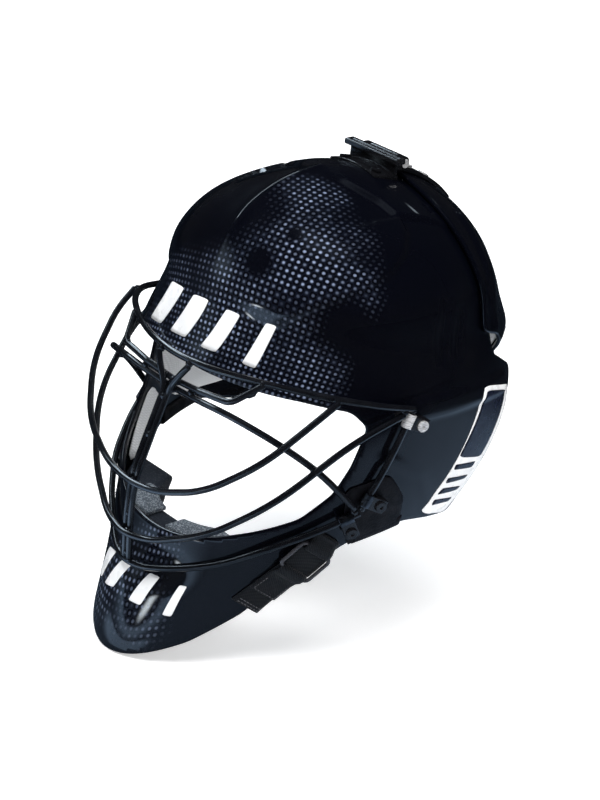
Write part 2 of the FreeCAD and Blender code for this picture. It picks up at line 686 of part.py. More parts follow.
def make_cage():
    """Welded wires; each one ends a wire's diameter short of the one it is welded to."""
    end = 2 * WIRE_R + 0.2
    corner_end = 6.0          # more where two wires run into one corner
    loop_end = 5.7
    cage = {}
    cage["cage_brow_wire"] = tube(across_face(TOP_WIRE), WIRE_R)
    side_wire = tube(trimmed(half_wire(SIDE_WIRE), end, end), WIRE_R)
    cage["cage_side_wire_left"] = side_wire
    cage["cage_side_wire_right"] = mirrored(side_wire)
    cage["cage_chin_wire"] = tube(across_face(CHIN_WIRE), WIRE_R)
    cage["cage_brow_loop"] = tube(trimmed(across_face(BROW_LOOP), loop_end, loop_end), WIRE_R, 9.0)
    cage["cage_cross_wire"] = tube(trimmed(across_face(CROSS_WIRE), corner_end, corner_end), WIRE_R)
    cage["cage_upper_hoop"] = tube(trimmed(across_face(UPPER_HOOP), end, end), WIRE_R)
    cage["cage_lower_hoop"] = tube(trimmed(across_face(LOWER_HOOP), corner_end, corner_end), WIRE_R)
    bar = [Vector(x + BAR_OFFSET, y, z) for x, y, z in reversed(VEE_BAR)][:-1]
    bar += [Vector(BAR_OFFSET, y, z) for x, y, z in CENTRE_BAR]
    bar_tube = tube(trimmed(bar, end, end), WIRE_R)
    cage["cage_centre_bar_left"] = bar_tube
    cage["cage_centre_bar_right"] = mirrored(bar_tube)
    return cage


def build():
    outer = even(0)
    inner = even(SHELL_T)
    lifted = even(-STRAP_LIFT)
    strap_over = even(-STRAP_LIFT - STRAP_T)
    foot_under = even(-FOOT_SEAT)
    foot_over = even(-FOOT_SEAT - FOOT_T)
    parts = {}

    clips, screws, nuts, holes, pockets = fastened_clips(outer, inner, lifted)
    for name, clip in clips.items():
        parts["cage_clip_%s_left" % name] = clip
        parts["cage_clip_%s_right" % name] = mirrored(clip)
    parts["cage_clip_screws"] = Part.makeCompound(both_sides(screws))
    parts["cage_clip_nuts"] = Part.makeCompound(both_sides(nuts))

    crown_screws, crown_nuts, crown_holes = crown_fasteners(foot_over, inner)
    rivets, rivet_holes = arm_rivets()
    parts["crown_clip_screws"] = Part.makeCompound(crown_screws)
    parts["crown_clip_nuts"] = Part.makeCompound(crown_nuts)
    parts["rear_arm_rivets"] = Part.makeCompound(rivets)
    parts["mask_shell"] = make_shell(outer, inner, holes + crown_holes[:1])
    parts["backplate"] = make_backplate(rivet_holes)
    parts["crown_clip"] = make_crown_clip(foot_under, foot_over, crown_holes)
    parts["hinge_pin"] = make_hinge_pin()
    parts["rear_arm"] = make_rear_arm(rivet_holes)
    parts.update(make_cage())

    rear_bar, front_bar, forward, normal = buckle_frame(outer)
    across = forward.cross(normal)
    flap = make_cheek_flap(lifted, list(clips.values()) + holes)
    anchor = make_strap_anchor(rear_bar, across, lifted, strap_over).cut(one_side(FLAP_OUTLINE))
    tail = webbing(TAIL_START, TAIL_END, lifted, strap_over)
    buckle = make_buckle(rear_bar, front_bar, across)
    for name, shape in (("cheek_flap", flap), ("jaw_strap_anchor", anchor),
                        ("jaw_strap_tail", tail), ("jaw_buckle", buckle)):
        parts[name + "_left"] = shape
        parts[name + "_right"] = mirrored(shape)
    parts.update(make_liner(pockets))
    print("buckle hinge", rear_bar, "axis", across)
    return parts


def main():
    os.makedirs("parts", exist_ok=True)
    for name, shape in build().items():
        shape.exportStep("parts/%s.step" % name)
        print(name, shape.isValid(), len(shape.Solids), round(shape.Volume / 1000.0, 2))


main()
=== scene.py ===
"""Looks of the goalkeeper's mask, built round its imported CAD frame.

The laminates, pads and straps are laid on the same head form as the CAD: a row runs from the
apex of the crown (0) down past the chin (10), and an angle goes round from the middle of the
face (0) over the wearer's left (90) to the back (180). Head-form sizes are in millimetres.
"""
import math

import bpy
import numpy as np
from mathutils import Matrix, Vector


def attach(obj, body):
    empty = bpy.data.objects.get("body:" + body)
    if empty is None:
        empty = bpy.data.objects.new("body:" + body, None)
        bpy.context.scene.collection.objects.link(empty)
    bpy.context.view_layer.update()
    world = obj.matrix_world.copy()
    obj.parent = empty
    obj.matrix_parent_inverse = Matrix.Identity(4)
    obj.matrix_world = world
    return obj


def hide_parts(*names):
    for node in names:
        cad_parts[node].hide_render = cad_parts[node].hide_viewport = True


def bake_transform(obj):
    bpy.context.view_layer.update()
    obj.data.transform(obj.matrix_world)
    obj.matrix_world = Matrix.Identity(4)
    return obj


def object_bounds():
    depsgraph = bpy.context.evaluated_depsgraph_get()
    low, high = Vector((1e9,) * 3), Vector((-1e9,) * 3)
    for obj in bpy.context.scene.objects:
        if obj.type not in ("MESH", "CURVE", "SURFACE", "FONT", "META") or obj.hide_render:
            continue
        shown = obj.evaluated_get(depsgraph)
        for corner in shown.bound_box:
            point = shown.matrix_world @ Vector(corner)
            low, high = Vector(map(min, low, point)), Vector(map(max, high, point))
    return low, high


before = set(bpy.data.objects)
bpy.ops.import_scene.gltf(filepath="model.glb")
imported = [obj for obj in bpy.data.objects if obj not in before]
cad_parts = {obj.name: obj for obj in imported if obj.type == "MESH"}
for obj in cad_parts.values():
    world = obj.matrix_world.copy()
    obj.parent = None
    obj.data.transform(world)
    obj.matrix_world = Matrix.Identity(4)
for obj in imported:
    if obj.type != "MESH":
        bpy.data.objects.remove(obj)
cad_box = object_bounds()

MM = 0.001

# ---------------------------------------------------------------- head form
FRONT = [(-12, 105), (-48, 100.5), (-77, 85), (-94, 60), (-102, 33), (-109, 10),
         (-117, -9), (-121, -60), (-132, -115), (-146, -148), (-160, -187), (-171, -226)]
SIDE = [(0, -12, 105), (39.5, -5, 92.5), (73, 0, 74), (94, 2, 49), (100, 5, 20), (108, 6, -8),
        (109, 6, -35), (107, 2, -68), (99, -10, -104), (85, -28, -140), (68, -55, -180),
        (51, -82, -220)]
REAR = [(-12, 105), (33, 97.5), (70.5, 80.5), (93.5, 56), (105, 26), (116, -6),
        (126, -34), (122, -60), (110, -95), (95, -125), (80, -155), (66, -186)]
FRONT_SQUARENESS = [1, 1, 1, 0.98, 0.93, 0.87, 0.82, 0.85, 0.92, 1, 1, 1]
REAR_SQUARENESS = [1, 1, 1, 0.97, 0.92, 0.87, 0.82, 0.82, 0.85, 0.9, 0.9, 0.9]
SHELL_T = 3.0
BACK_GAP = 1.0
BACK_TUCK = 9.0
SKIRT_TUCK = 3.0
HEAD_MIDDLE = np.array([0, 0, -20.0])


def along(values, mirrored, row):
    """Catmull-Rom value at each row; mirrored is the value one row past the apex."""
    values = np.asarray(values, float)
    padded = np.concatenate([[mirrored], values, [2 * values[-1] - values[-2]]])
    i = np.clip(np.floor(row).astype(int), 0, len(values) - 2)
    t = row - i
    before, start, end, after = padded[i], padded[i + 1], padded[i + 2], padded[i + 3]
    slope_0, slope_1 = (end - before) / 2, (after - start) / 2
    return ((2 * t ** 3 - 3 * t ** 2 + 1) * start + (t ** 3 - 2 * t ** 2 + t) * slope_0
            + (3 * t ** 2 - 2 * t ** 3) * end + (t ** 3 - t ** 2) * slope_1)


def form(row, angle):
    """Points of the head form."""
    row, angle = np.broadcast_arrays(np.asarray(row, float), np.asarray(angle, float))
    a = np.radians(angle)
    c, s = np.cos(a), np.sin(a)
    ends = []
    for near, far, square in ((FRONT, REAR, FRONT_SQUARENESS), (REAR, FRONT, REAR_SQUARENESS)):
        near, far = np.array(near, float), np.array(far, float)
        ends.append([along(near[:, k], far[1, k], row) for k in (0, 1)]
                    + [along(square, square[1], row)])
    ahead = c >= 0
    end_y, end_z, p = [np.where(ahead, ends[0][k], ends[1][k]) for k in range(3)]
    side = np.array(SIDE, float)
    side_x = along(side[:, 0], -side[1, 0], row)
    side_y = along(side[:, 1], side[1, 1], row)
    side_z = along(side[:, 2], side[1, 2], row)
    x = side_x * np.sign(s) * np.abs(s) ** p
    y = side_y + (end_y - side_y) * np.abs(c) ** p
    z = side_z + (end_z - side_z) * c * c
    return np.stack([x, y, z], -1)


def unit(v):
    return v / np.maximum(np.linalg.norm(v, axis=-1, keepdims=True), 1e-9)


def normals(row, angle):
    """Outward normals of the head form."""
    down = form(np.asarray(row) + 0.02, angle) - form(np.asarray(row) - 0.02, angle)
    around = form(row, np.asarray(angle) + 0.5) - form(row, np.asarray(angle) - 0.5)
    n = unit(np.cross(down, around))
    outward = np.sum(n * (form(row, angle) - HEAD_MIDDLE), -1, keepdims=True)
    return np.where(outward < 0, -n, n)


def inset(row, angle, depth):
    return form(row, angle) - normals(row, angle) * np.asarray(depth)[..., None]


def smooth(t):
    t = np.clip(t, 0, 1)
    return t * t * (3 - 2 * t)


def backplate_depth(row):
    """Outside the shell over the crown and the sides, inside its wings below."""
    outside = -(BACK_GAP + SHELL_T)
    return (outside + (BACK_TUCK - outside) * smooth((row - 4.35) / 0.65)
            + SKIRT_TUCK * smooth(row - 5))


TABLE_STEP = 0.05
TABLE_ROWS = np.arange(0.0, 11.01, TABLE_STEP)
TABLE_ANGLES = np.arange(0.0, 181.0, 1.0)
TABLE = form(TABLE_ROWS[:, None], TABLE_ANGLES[None, :])


def travelled(points, axis=0):
    """Distance covered along an axis of points."""
    steps = np.linalg.norm(np.diff(points, axis=axis), axis=-1)
    return np.insert(np.cumsum(steps, axis=axis), 0, 0, axis=axis)


ROUND = travelled(TABLE, 1)
DOWN = travelled(TABLE, 0)


def blended(a, b, c, d, u, v):
    """Value between four corners: u goes from a to b and from c to d, and v between those."""
    return (a * (1 - u) + b * u) * (1 - v) + (c * (1 - u) + d * u) * v


def looked_up(table, row, angle):
    """Bilinear value of a table over rows and angles of one side."""
    r = np.clip(row / TABLE_STEP, 0, len(TABLE_ROWS) - 1.001)
    a = np.clip(angle, 0, 179.999)
    i, j = r.astype(int), a.astype(int)
    return blended(table[i, j], table[i + 1, j], table[i, j + 1], table[i + 1, j + 1],
                   r - i, a - j)


def cloth_uv(row, angle):
    """Millimetres round from the middle of the face, and down from the crown."""
    angle = np.asarray(angle, float)
    turn = np.abs((angle + 180) % 360 - 180)
    side = np.where((angle + 180) % 360 - 180 < 0, -1, 1)
    full = looked_up(ROUND, row, np.full_like(turn, 179.99))
    u = looked_up(ROUND, row, turn)
    u = np.where(angle > 180, 2 * full - u, side * u)
    return u, looked_up(DOWN, row, turn)


def round_chart(points, centre, ahead):
    """Millimetres right and down, true to scale along every line out from one direction."""
    arm = points - np.array(centre, float)
    ahead = unit(np.array(ahead, float))
    down = np.cross(ahead, (1.0, 0, 0))
    right, low = arm[:, 0], arm @ (down * np.sign(-down[2]))
    off = np.maximum(np.hypot(right, low), 1e-6)
    scale = np.linalg.norm(arm, axis=1) * np.arctan2(off, arm @ ahead) / off
    return np.stack([right * scale, low * scale], 1)


def weave_chart(points, leaders):
    """Where the weave lies: one sheet over the brow and crown, another round the chin."""
    brow = round_chart(points, (0, 0, 0), (0, -0.83, 0.56))
    chin = round_chart(points, (0, -60, -120), (0, -0.92, -0.38))
    low = (leaders[:, 1] < -60) & (leaders[:, 2] < -70)
    return np.where(low[:, None], chin, brow)


def located(y, z):
    """Row and angle of the left-side point whose side view is (y, z)."""
    near = (TABLE[..., 1] - y) ** 2 + (TABLE[..., 2] - z) ** 2
    near[:, :12] += 1e6
    near[:, 169:] += 1e6
    i, j = np.unravel_index(np.argmin(near), near.shape)
    row, angle = TABLE_ROWS[i], TABLE_ANGLES[j]
    for _ in range(6):
        here = form(row, angle)
        dr = (form(row + 0.01, angle) - here)[1:] / 0.01
        da = (form(row, angle + 0.1) - here)[1:] / 0.1
        step = np.linalg.lstsq(np.stack([dr, da], 1), np.array([y, z]) - here[1:], rcond=None)[0]
        row, angle = row + step[0], angle + step[1]
    return row, angle


def pinned(point):
    """Row and angle of the form's point nearest to a point, on either side."""
    x, y, z = point
    d = (TABLE[..., 0] - abs(x)) ** 2 + (TABLE[..., 1] - y) ** 2 + (TABLE[..., 2] - z) ** 2
    i, j = np.unravel_index(np.argmin(d), d.shape)
    return TABLE_ROWS[i], TABLE_ANGLES[j] * (1 if x >= 0 else -1)


# ---------------------------------------------------------------- outlines
SHELL_OUTLINE = [(-190, 150, 0), (48, 150, 0), (48, 104, 60), (56, 44, 30), (56, 4, 7),
                 (83, -13, 4), (33, -103, 6), (-16, -93, 40), (-52, -100, 30),
                 (-78, -119, 30), (-106, -151, 30), (-131, -171, 30), (-160, -189, 0),
                 (-190, -189, 0)]
FACE_OUTLINE = [(-230, -1, 0), (-112, -1, 40), (-86, -4.5, 40), (-61, -10, 12),
                (-52, -20, 6), (-60, -46, 30), (-68, -64, 20), (-84, -81, 20),
                (-112, -96, 20), (-138, -112, 20), (-230, -112, 0)]
BACK_OUTLINE = [(37, 150, 0), (37, 104, 60), (44, 42, 20), (44, 21, 5), (61, 14, 5),
                (71, -2, 8), (71, -50, 8), (122, -66, 10), (170, -66, 0), (170, 150, 0)]
FLAP_OUTLINE = [(-62, -60, 5), (-34, -53, 8), (-20, -72, 12), (-17, -110, 0), (-50, -110, 0),
                (-60, -84, 8)]
FOREHEAD_PAD = [(-150, 14, 0), (-150, 62, 0), (-84, 62, 6), (-64, 14, 6)]
SWEATBAND = [(-150, 16, 0), (-150, 42, 0), (-70, 42, 4), (-60, 16, 4)]
SIDE_PAD = [(-46, 2, 8), (-34, 52, 10), (26, 58, 10), (44, 12, 10), (40, -60, 12),
            (6, -84, 12), (-40, -84, 10), (-54, -62, 8), (-46, -28, 8)]
JAW_PAD = [(-59, -68, 3), (-60, -90, 6), (-80, -107, 6), (-104, -107, 5), (-84, -88, 8),
           (-68, -72, 4)]
CROWN_PAD = [(-56, 150, 0), (-56, 78, 0), (4, 78, 0), (4, 150, 0)]
REAR_PAD = [(72, 68, 8), (76, -2, 6), (76, -44, 8), (116, -56, 8), (170, -56, 0), (170, 76, 0),
            (80, 76, 4)]


def arc(centre, first, last, turn, parts):
    """Points round a centre, at parts of the turn between two arms."""
    return [centre + (first * math.sin((1 - t) * turn) + last * math.sin(t * turn))
            / math.sin(turn) for t in parts]


def rounded(corners):
    """Closed side-view polyline of (y, z) whose corners are (y, z, radius)."""
    points = []
    for i, (y, z, r) in enumerate(corners):
        here = np.array([y, z], float)
        back = unit(np.array(corners[i - 1][:2], float) - here)
        ahead = unit(np.array(corners[(i + 1) % len(corners)][:2], float) - here)
        if r == 0:
            points.append(here)
            continue
        half = math.acos(np.clip(back @ ahead, -1, 1)) / 2
        cut = r / math.tan(half)
        centre = here + unit(back + ahead) * (r / math.sin(half))
        points += arc(centre, here + back * cut - centre, here + ahead * cut - centre,
                      math.pi - 2 * half, np.linspace(0, 1, 9))
    return np.array(points)


def off_segment(q, a, b):
    """Vectors to points from the nearest place on a segment."""
    run = b - a
    t = np.clip(((q - a) @ run) / max(run @ run, 1e-12), 0, 1)
    return q - a - t[..., None] * run


def depth_inside(corners, points):
    """Signed side-view distance of points inside an outline."""
    line = rounded(corners)
    q = points[..., 1:]
    best = np.full(q.shape[:-1], 1e9)
    inside = np.zeros(q.shape[:-1], bool)
    for a, b in zip(line, np.roll(line, -1, axis=0)):
        best = np.minimum(best, np.linalg.norm(off_segment(q, a, b), axis=-1))
        if a[1] != b[1]:
            crosses = (a[1] > q[..., 1]) != (b[1] > q[..., 1])
            y = a[0] + (q[..., 1] - a[1]) * (b[0] - a[0]) / (b[1] - a[1])
            inside ^= crosses & (q[..., 0] < y)
    return np.where(inside, best, -best)


# ---------------------------------------------------------------- layers on the head form
EDGE_REACH = 6.0          # how near the edge a point is tried on it, in mm
SNAP_LIMITS = (0.42, 0.2)  # how far a point moves onto it in the first and second try, in cells
ROW_NUDGE, ANGLE_NUDGE = 0.01, 0.1
BISECTIONS = 7
DEEP = 99.0               # so far inside a region that its edge no longer matters
POLE_REACH = 6            # radius of the hole at the apex that a cap closes


def trimmed_faces(rows, angles, closed, region, place):
    """Faces of the head-form grid inside a region, cut exactly along its edge.

    Returns the rows and angles of the vertices, and faces as lists of (vertex, angle)."""
    r, a = [g.ravel() for g in np.meshgrid(rows, angles, indexing="ij")]
    row_step, angle_step = rows[1] - rows[0], angles[1] - angles[0]
    near = np.flatnonzero(np.abs(region(place(r, a))) < EDGE_REACH)
    snapped = None
    for most in SNAP_LIMITS:
        rn, an, dn = r[near], a[near], region(place(r[near], a[near]))
        gr = (region(place(rn + ROW_NUDGE, an)) - dn) / ROW_NUDGE * row_step
        ga = (region(place(rn, an + ANGLE_NUDGE)) - dn) / ANGLE_NUDGE * angle_step
        g2 = np.maximum(gr ** 2 + ga ** 2, 1e-9)
        dr, da = -dn * gr / g2, -dn * ga / g2
        if snapped is None:
            snapped = np.maximum(np.abs(dr), np.abs(da)) < most
        r[near] = rn + np.clip(dr * snapped, -most, most) * row_step
        a[near] = an + np.clip(da * snapped, -most, most) * angle_step
    d = region(place(r, a))
    d[near[snapped]] = 0
    count = len(angles)
    turn = 360.0 if closed else 0.0

    def cut(corners, ds, k):
        """The inner and the outer end of a face's side that crosses the edge."""
        ends = [(ds[m], corners[m]) for m in (k, (k + 1) % 4)]
        inner, outer = ends if ds[k] > 0 else ends[::-1]
        return (inner[1], outer[1]) if inner[0] > 0 > outer[0] else None

    quads, wanted = [], {}
    for i in range(len(rows) - 1):
        for j in range(count if closed else count - 1):
            jn = (j + 1) % count
            ids = [i * count + j, (i + 1) * count + j, (i + 1) * count + jn, i * count + jn]
            ds = [d[k] for k in ids]
            if max(ds) <= 0:
                continue
            wrap = turn if jn == 0 else 0.0
            corners = list(zip(ids, [a[ids[0]], a[ids[1]], a[ids[2]] + wrap, a[ids[3]] + wrap]))
            quads.append((corners, ds))
            for ends in filter(None, (cut(corners, ds, k) for k in range(4))):
                wanted.setdefault((ends[0][0], ends[1][0]), (ends[0][1], ends[1][1]))
    extra = {key: len(r) + k for k, key in enumerate(wanted)}
    if wanted:
        inside, outside = np.array(list(wanted)).T
        a_in, a_out = np.array(list(wanted.values())).T
        low, high = np.zeros(len(wanted)), np.ones(len(wanted))
        t = d[inside] / (d[inside] - d[outside])
        for _ in range(BISECTIONS):
            dt = region(place(r[inside] + (r[outside] - r[inside]) * t,
                              a_in + (a_out - a_in) * t))
            low, high = np.where(dt > 0, t, low), np.where(dt > 0, high, t)
            t = (low + high) / 2
        r = np.concatenate([r, r[inside] + (r[outside] - r[inside]) * t])
        a = np.concatenate([a, a_in + (a_out - a_in) * t])

    def crossing(inner, outer):
        k = extra[(inner[0], outer[0])]
        nearby = (inner[1] + outer[1]) / 2
        return k, a[k] + (turn * round((nearby - a[k]) / 360.0) if closed else 0.0)

    faces = []
    for corners, ds in quads:
        if min(ds) >= 0:
            faces.append(corners)
            continue
        face = []
        for k in range(4):
            if ds[k] >= 0:
                face.append(corners[k])
            ends = cut(corners, ds, k)
            if ends:
                face.append(crossing(*ends))
        if len(face) > 2:
            faces.append(face)
    return r, a, faces


def layer(name, rows, angles, closed, region, outer, inner, raised=None, rim=1.2, steps=4,
          pole=False, chart=None):
    """Closed sheet between two depths under the head form, inside a region.

    outer and inner give depths from the row and the region's depth; raised adds relief, and
    chart lays the pattern from the points and each face's first point."""
    def place(r, a):
        return inset(r, a, outer(r, np.full_like(r, DEEP)))

    def margin(points):
        return region(points) - rim

    r, a, faces = trimmed_faces(rows, angles, closed, margin, place)
    used = sorted({k for face in faces for k, _ in face})
    index = {k: i for i, k in enumerate(used)}
    r, a = r[used], a[used]
    faces = [[(index[k], ang) for k, ang in face] for face in faces]
    d = np.maximum(margin(place(r, a)), 0)
    n = normals(r, a)
    base = form(r, a)
    relief = raised(place(r, a)) if raised else np.zeros(len(r))
    top = base - n * (outer(r, d) - relief)[:, None]
    bottom = base - n * (inner(r, d) - relief)[:, None]
    f0 = faces[len(faces) // 2]
    p = [top[k] for k, _ in f0[:3]]
    if np.dot(np.cross(p[1] - p[0], p[2] - p[0]), n[f0[0][0]]) < 0:
        faces = [face[::-1] for face in faces]
    count = len(r)
    flat = np.array([(r[k], ang) for face in faces for k, ang in face])
    if chart:
        spots = form(flat[:, 0], flat[:, 1])
        sizes = np.array([len(face) for face in faces])
        firsts = np.repeat(np.cumsum(sizes) - sizes, sizes)
        pairs = iter(chart(spots, spots[firsts]).tolist())
    else:
        pairs = iter(np.stack(cloth_uv(flat[:, 0], flat[:, 1]), -1).tolist())
    uvs = [[tuple(next(pairs)) for _ in face] for face in faces]
    ids = [[k for k, _ in face] for face in faces]
    verts = [top, bottom]
    edges = {}
    for face, uv in zip(ids, uvs):
        for k in range(len(face)):
            edges[(face[k], face[(k + 1) % len(face)])] = (uv[k], uv[(k + 1) % len(face)])
    border = [(e, uv) for e, uv in edges.items() if (e[1], e[0]) not in edges]
    out_faces = ids + [[k + count for k in reversed(face)] for face in ids]
    out_uvs = uvs + [list(reversed(uv)) for uv in uvs]
    if pole:
        hole = {e for e, _ in border
                if np.linalg.norm(top[e[0]][:2] - [0, FRONT[0][0]]) < POLE_REACH}
        start = next(e[0] for e, _ in border if e in hole)
        border = [(e, uv) for e, uv in border if e not in hole]
        follow = dict(hole)
        order = [start]
        while follow[order[-1]] != start:
            order.append(follow[order[-1]])
        for cap, offset in ((order[::-1], 0), (order, count)):
            out_faces.append([k + offset for k in cap])
            out_uvs.append([(0.0, 0.0)] * len(cap))
    push = np.zeros((count, 3))
    for (p, q), _ in border:
        out = unit(np.cross(top[q] - top[p], n[p]))
        push[p] += out
        push[q] += out
    push = unit(push)
    lip = sorted({k for e, _ in border for k in e})
    where = {k: i for i, k in enumerate(lip)}
    total = 2 * count
    for s in range(1, steps):
        t = math.pi * s / steps
        middle = (top[lip] + bottom[lip]) / 2
        half = (top[lip] - bottom[lip]) / 2
        verts.append(middle + half * math.cos(t) + push[lip] * rim * math.sin(t))

    def level(k, s):
        if s == 0:
            return k
        return k + count if s == steps else total + (s - 1) * len(lip) + where[k]

    for (p, q), (up, uq) in border:
        for s in range(steps):
            out_faces.append([level(q, s), level(p, s), level(p, s + 1), level(q, s + 1)])
            out_uvs.append([uq, up, up, uq])
    return solid(name, np.concatenate(verts), out_faces, out_uvs)


def linked(name, data):
    obj = bpy.data.objects.new(name, data)
    bpy.context.scene.collection.objects.link(obj)
    return obj


def smoothed(mesh):
    mesh.polygons.foreach_set("use_smooth", [True] * len(mesh.polygons))


def solid(name, verts, faces, uvs=None):
    """Smooth-shaded object from millimetre vertices."""
    mesh = bpy.data.meshes.new(name)
    mesh.from_pydata([tuple(v) for v in np.asarray(verts) * MM], [], faces)
    if uvs:
        data = mesh.uv_layers.new(name="cloth").data
        data.foreach_set("uv", [c for face in uvs for uv in face for c in uv])
    smoothed(mesh)
    mesh.update()
    return linked(name, mesh)


def joined(name, lumps):
    """One object from several lots of vertices and faces."""
    verts, faces = [], []
    for v, f in lumps:
        base = len(verts)
        verts.extend(v)
        faces.extend([[k + base for k in face] for face in f])
    return solid(name, verts, faces)


def ring(centre, side, over, radius, sides):
    turns = [2 * math.pi * s / sides for s in range(sides)]
    return [centre + radius * (side * math.cos(t) + over * math.sin(t)) for t in turns]


def ring_faces(rings, sides, cyclic=False, shift=0):
    """Faces of a tube of rings, then its two ends; a cyclic one joins on after a shift."""
    faces = []
    for k in range(rings if cyclic else rings - 1):
        here, there = k * sides, (k + 1) % rings * sides
        move = shift if k == rings - 1 else 0
        faces += [[here + s, here + (s + 1) % sides, there + (s + 1 + move) % sides,
                   there + (s + move) % sides] for s in range(sides)]
    if not cyclic:
        faces += [list(range(sides))[::-1], list(range((rings - 1) * sides, rings * sides))]
    return faces


def other_side(obj, name):
    """Mirror image across the middle of the head."""
    mesh = obj.data.copy()
    mesh.transform(Matrix.Scale(-1, 4, (1, 0, 0)))
    mesh.flip_normals()
    return linked(name, mesh)


# ---------------------------------------------------------------- materials
def rgb(value):
    return (*value, 1.0)


class Nodes:
    """A node tree that is built a few nodes at a time."""

    def __init__(self, owner):
        owner.use_nodes = True
        self.tree = owner.node_tree

    def node(self, kind, links=None, **settings):
        node = self.tree.nodes.new("ShaderNode" + kind)
        for key, value in settings.items():
            if key in node.inputs:
                node.inputs[key].default_value = value
            else:
                setattr(node, key, value)
        for key, source in (links or {}).items():
            self.tree.links.new(source, node.inputs[key])
        return node

    def math(self, operation, a, b):
        node = self.node("Math", operation=operation)
        for k, value in enumerate((a, b)):
            if isinstance(value, (int, float)):
                node.inputs[k].default_value = value
            else:
                self.tree.links.new(value, node.inputs[k])
        return node.outputs[0]

    def vector(self, operation, a, b=None, scale=None):
        node = self.node("VectorMath", {0: a}, operation=operation)
        if b is not None:
            node.inputs[1].default_value = b
        if scale is not None:
            node.inputs["Scale"].default_value = scale
        return node.outputs["Value" if operation in ("LENGTH", "DISTANCE") else "Vector"]

    def ranged(self, value, low, high, to_low=0.0, to_high=1.0, kind="SMOOTHSTEP"):
        node = self.node("MapRange", {0: value}, interpolation_type=kind)
        for k, number in enumerate((low, high, to_low, to_high)):
            node.inputs[k + 1].default_value = number
        return node.outputs[0]

    def ends_in(self, source, node, socket):
        self.tree.links.new(source, self.tree.nodes[node].inputs[socket])


class Finish(Nodes):
    """A material with a Principled shader."""

    def __init__(self, name, colour, roughness, **sockets):
        self.material = bpy.data.materials.new(name)
        super().__init__(self.material)
        self.shader = self.tree.nodes["Principled BSDF"]
        self.shader.inputs["Base Color"].default_value = rgb(colour)
        self.shader.inputs["Roughness"].default_value = roughness
        for key, value in sockets.items():
            self.shader.inputs[key.replace("_", " ")].default_value = value
        self.material.diffuse_color = rgb(colour)

    def place(self):
        return self.node("TexCoord").outputs["Object"]

    def uv(self):
        return self.node("UVMap", uv_map="cloth").outputs["UV"]

    def noise(self, scale, detail=2.0, source=None):
        return self.node("TexNoise", {"Vector": source or self.place()}, Scale=scale,
                         Detail=detail).outputs["Fac"]

    def voronoi(self, scale, **settings):
        return self.node("TexVoronoi", {"Vector": self.place()}, Scale=scale, **settings).outputs

    def off_middle(self, cell):
        """Distance from the middle of each unit cell."""
        middle = self.vector("SUBTRACT", self.vector("FRACTION", cell), (0.5, 0.5, 0))
        return self.vector("LENGTH", middle)

    def mixed(self, factor, a, b):
        node = self.node("Mix", {0: factor}, data_type="RGBA")
        for k, value in ((6, a), (7, b)):
            if isinstance(value, tuple):
                node.inputs[k].default_value = rgb(value)
            else:
                self.tree.links.new(value, node.inputs[k])
        return node.outputs[2]

    def use(self, socket, source):
        self.tree.links.new(source, self.shader.inputs[socket])

    def shade(self, value, low, high, a, b):
        """Base colour that goes from a to b as a value goes from low to high."""
        self.use("Base Color", self.mixed(self.ranged(value, low, high), a, b))

    def bump(self, height, distance, strength=1.0):
        node = self.node("Bump", {"Height": height}, Distance=distance, Strength=strength)
        self.use("Normal", node.outputs[0])

    def spot(self, centre, radius):
        """One near a place on the object, falling to nothing at the radius."""
        away = self.vector("DISTANCE", self.place(), tuple(c * MM for c in centre))
        return self.ranged(away, radius * MM * 0.35, radius * MM, 1.0, 0.0)

WEAVE_PITCH = 3.8
# Places on the laminate where glints of the weave through the lacquer are painted into the base
# colour, as painted highlights, and where they are left out again.
PAINTED_GLINTS = [((-16, -106, 17), 52), ((14, -103, 34), 50), ((40, -98, 24), 50), ((46, -84, 52), 52),
          ((50, -60, 76), 44), ((66, -60, 62), 38), ((26, -44, 96), 30), ((22, -106, -2), 46),
          ((62, -86, 12), 42), ((12, -146, -158), 30), ((10, -133, -122), 24),
          ((-16, -140, -150), 38)]
BLANKS = [((28, -84, 66), 17), ((36, -66, 84), 8), ((82, -60, 40), 30), ((44, -140, -132), 24),
          ((-42, -80, 70), 30)]


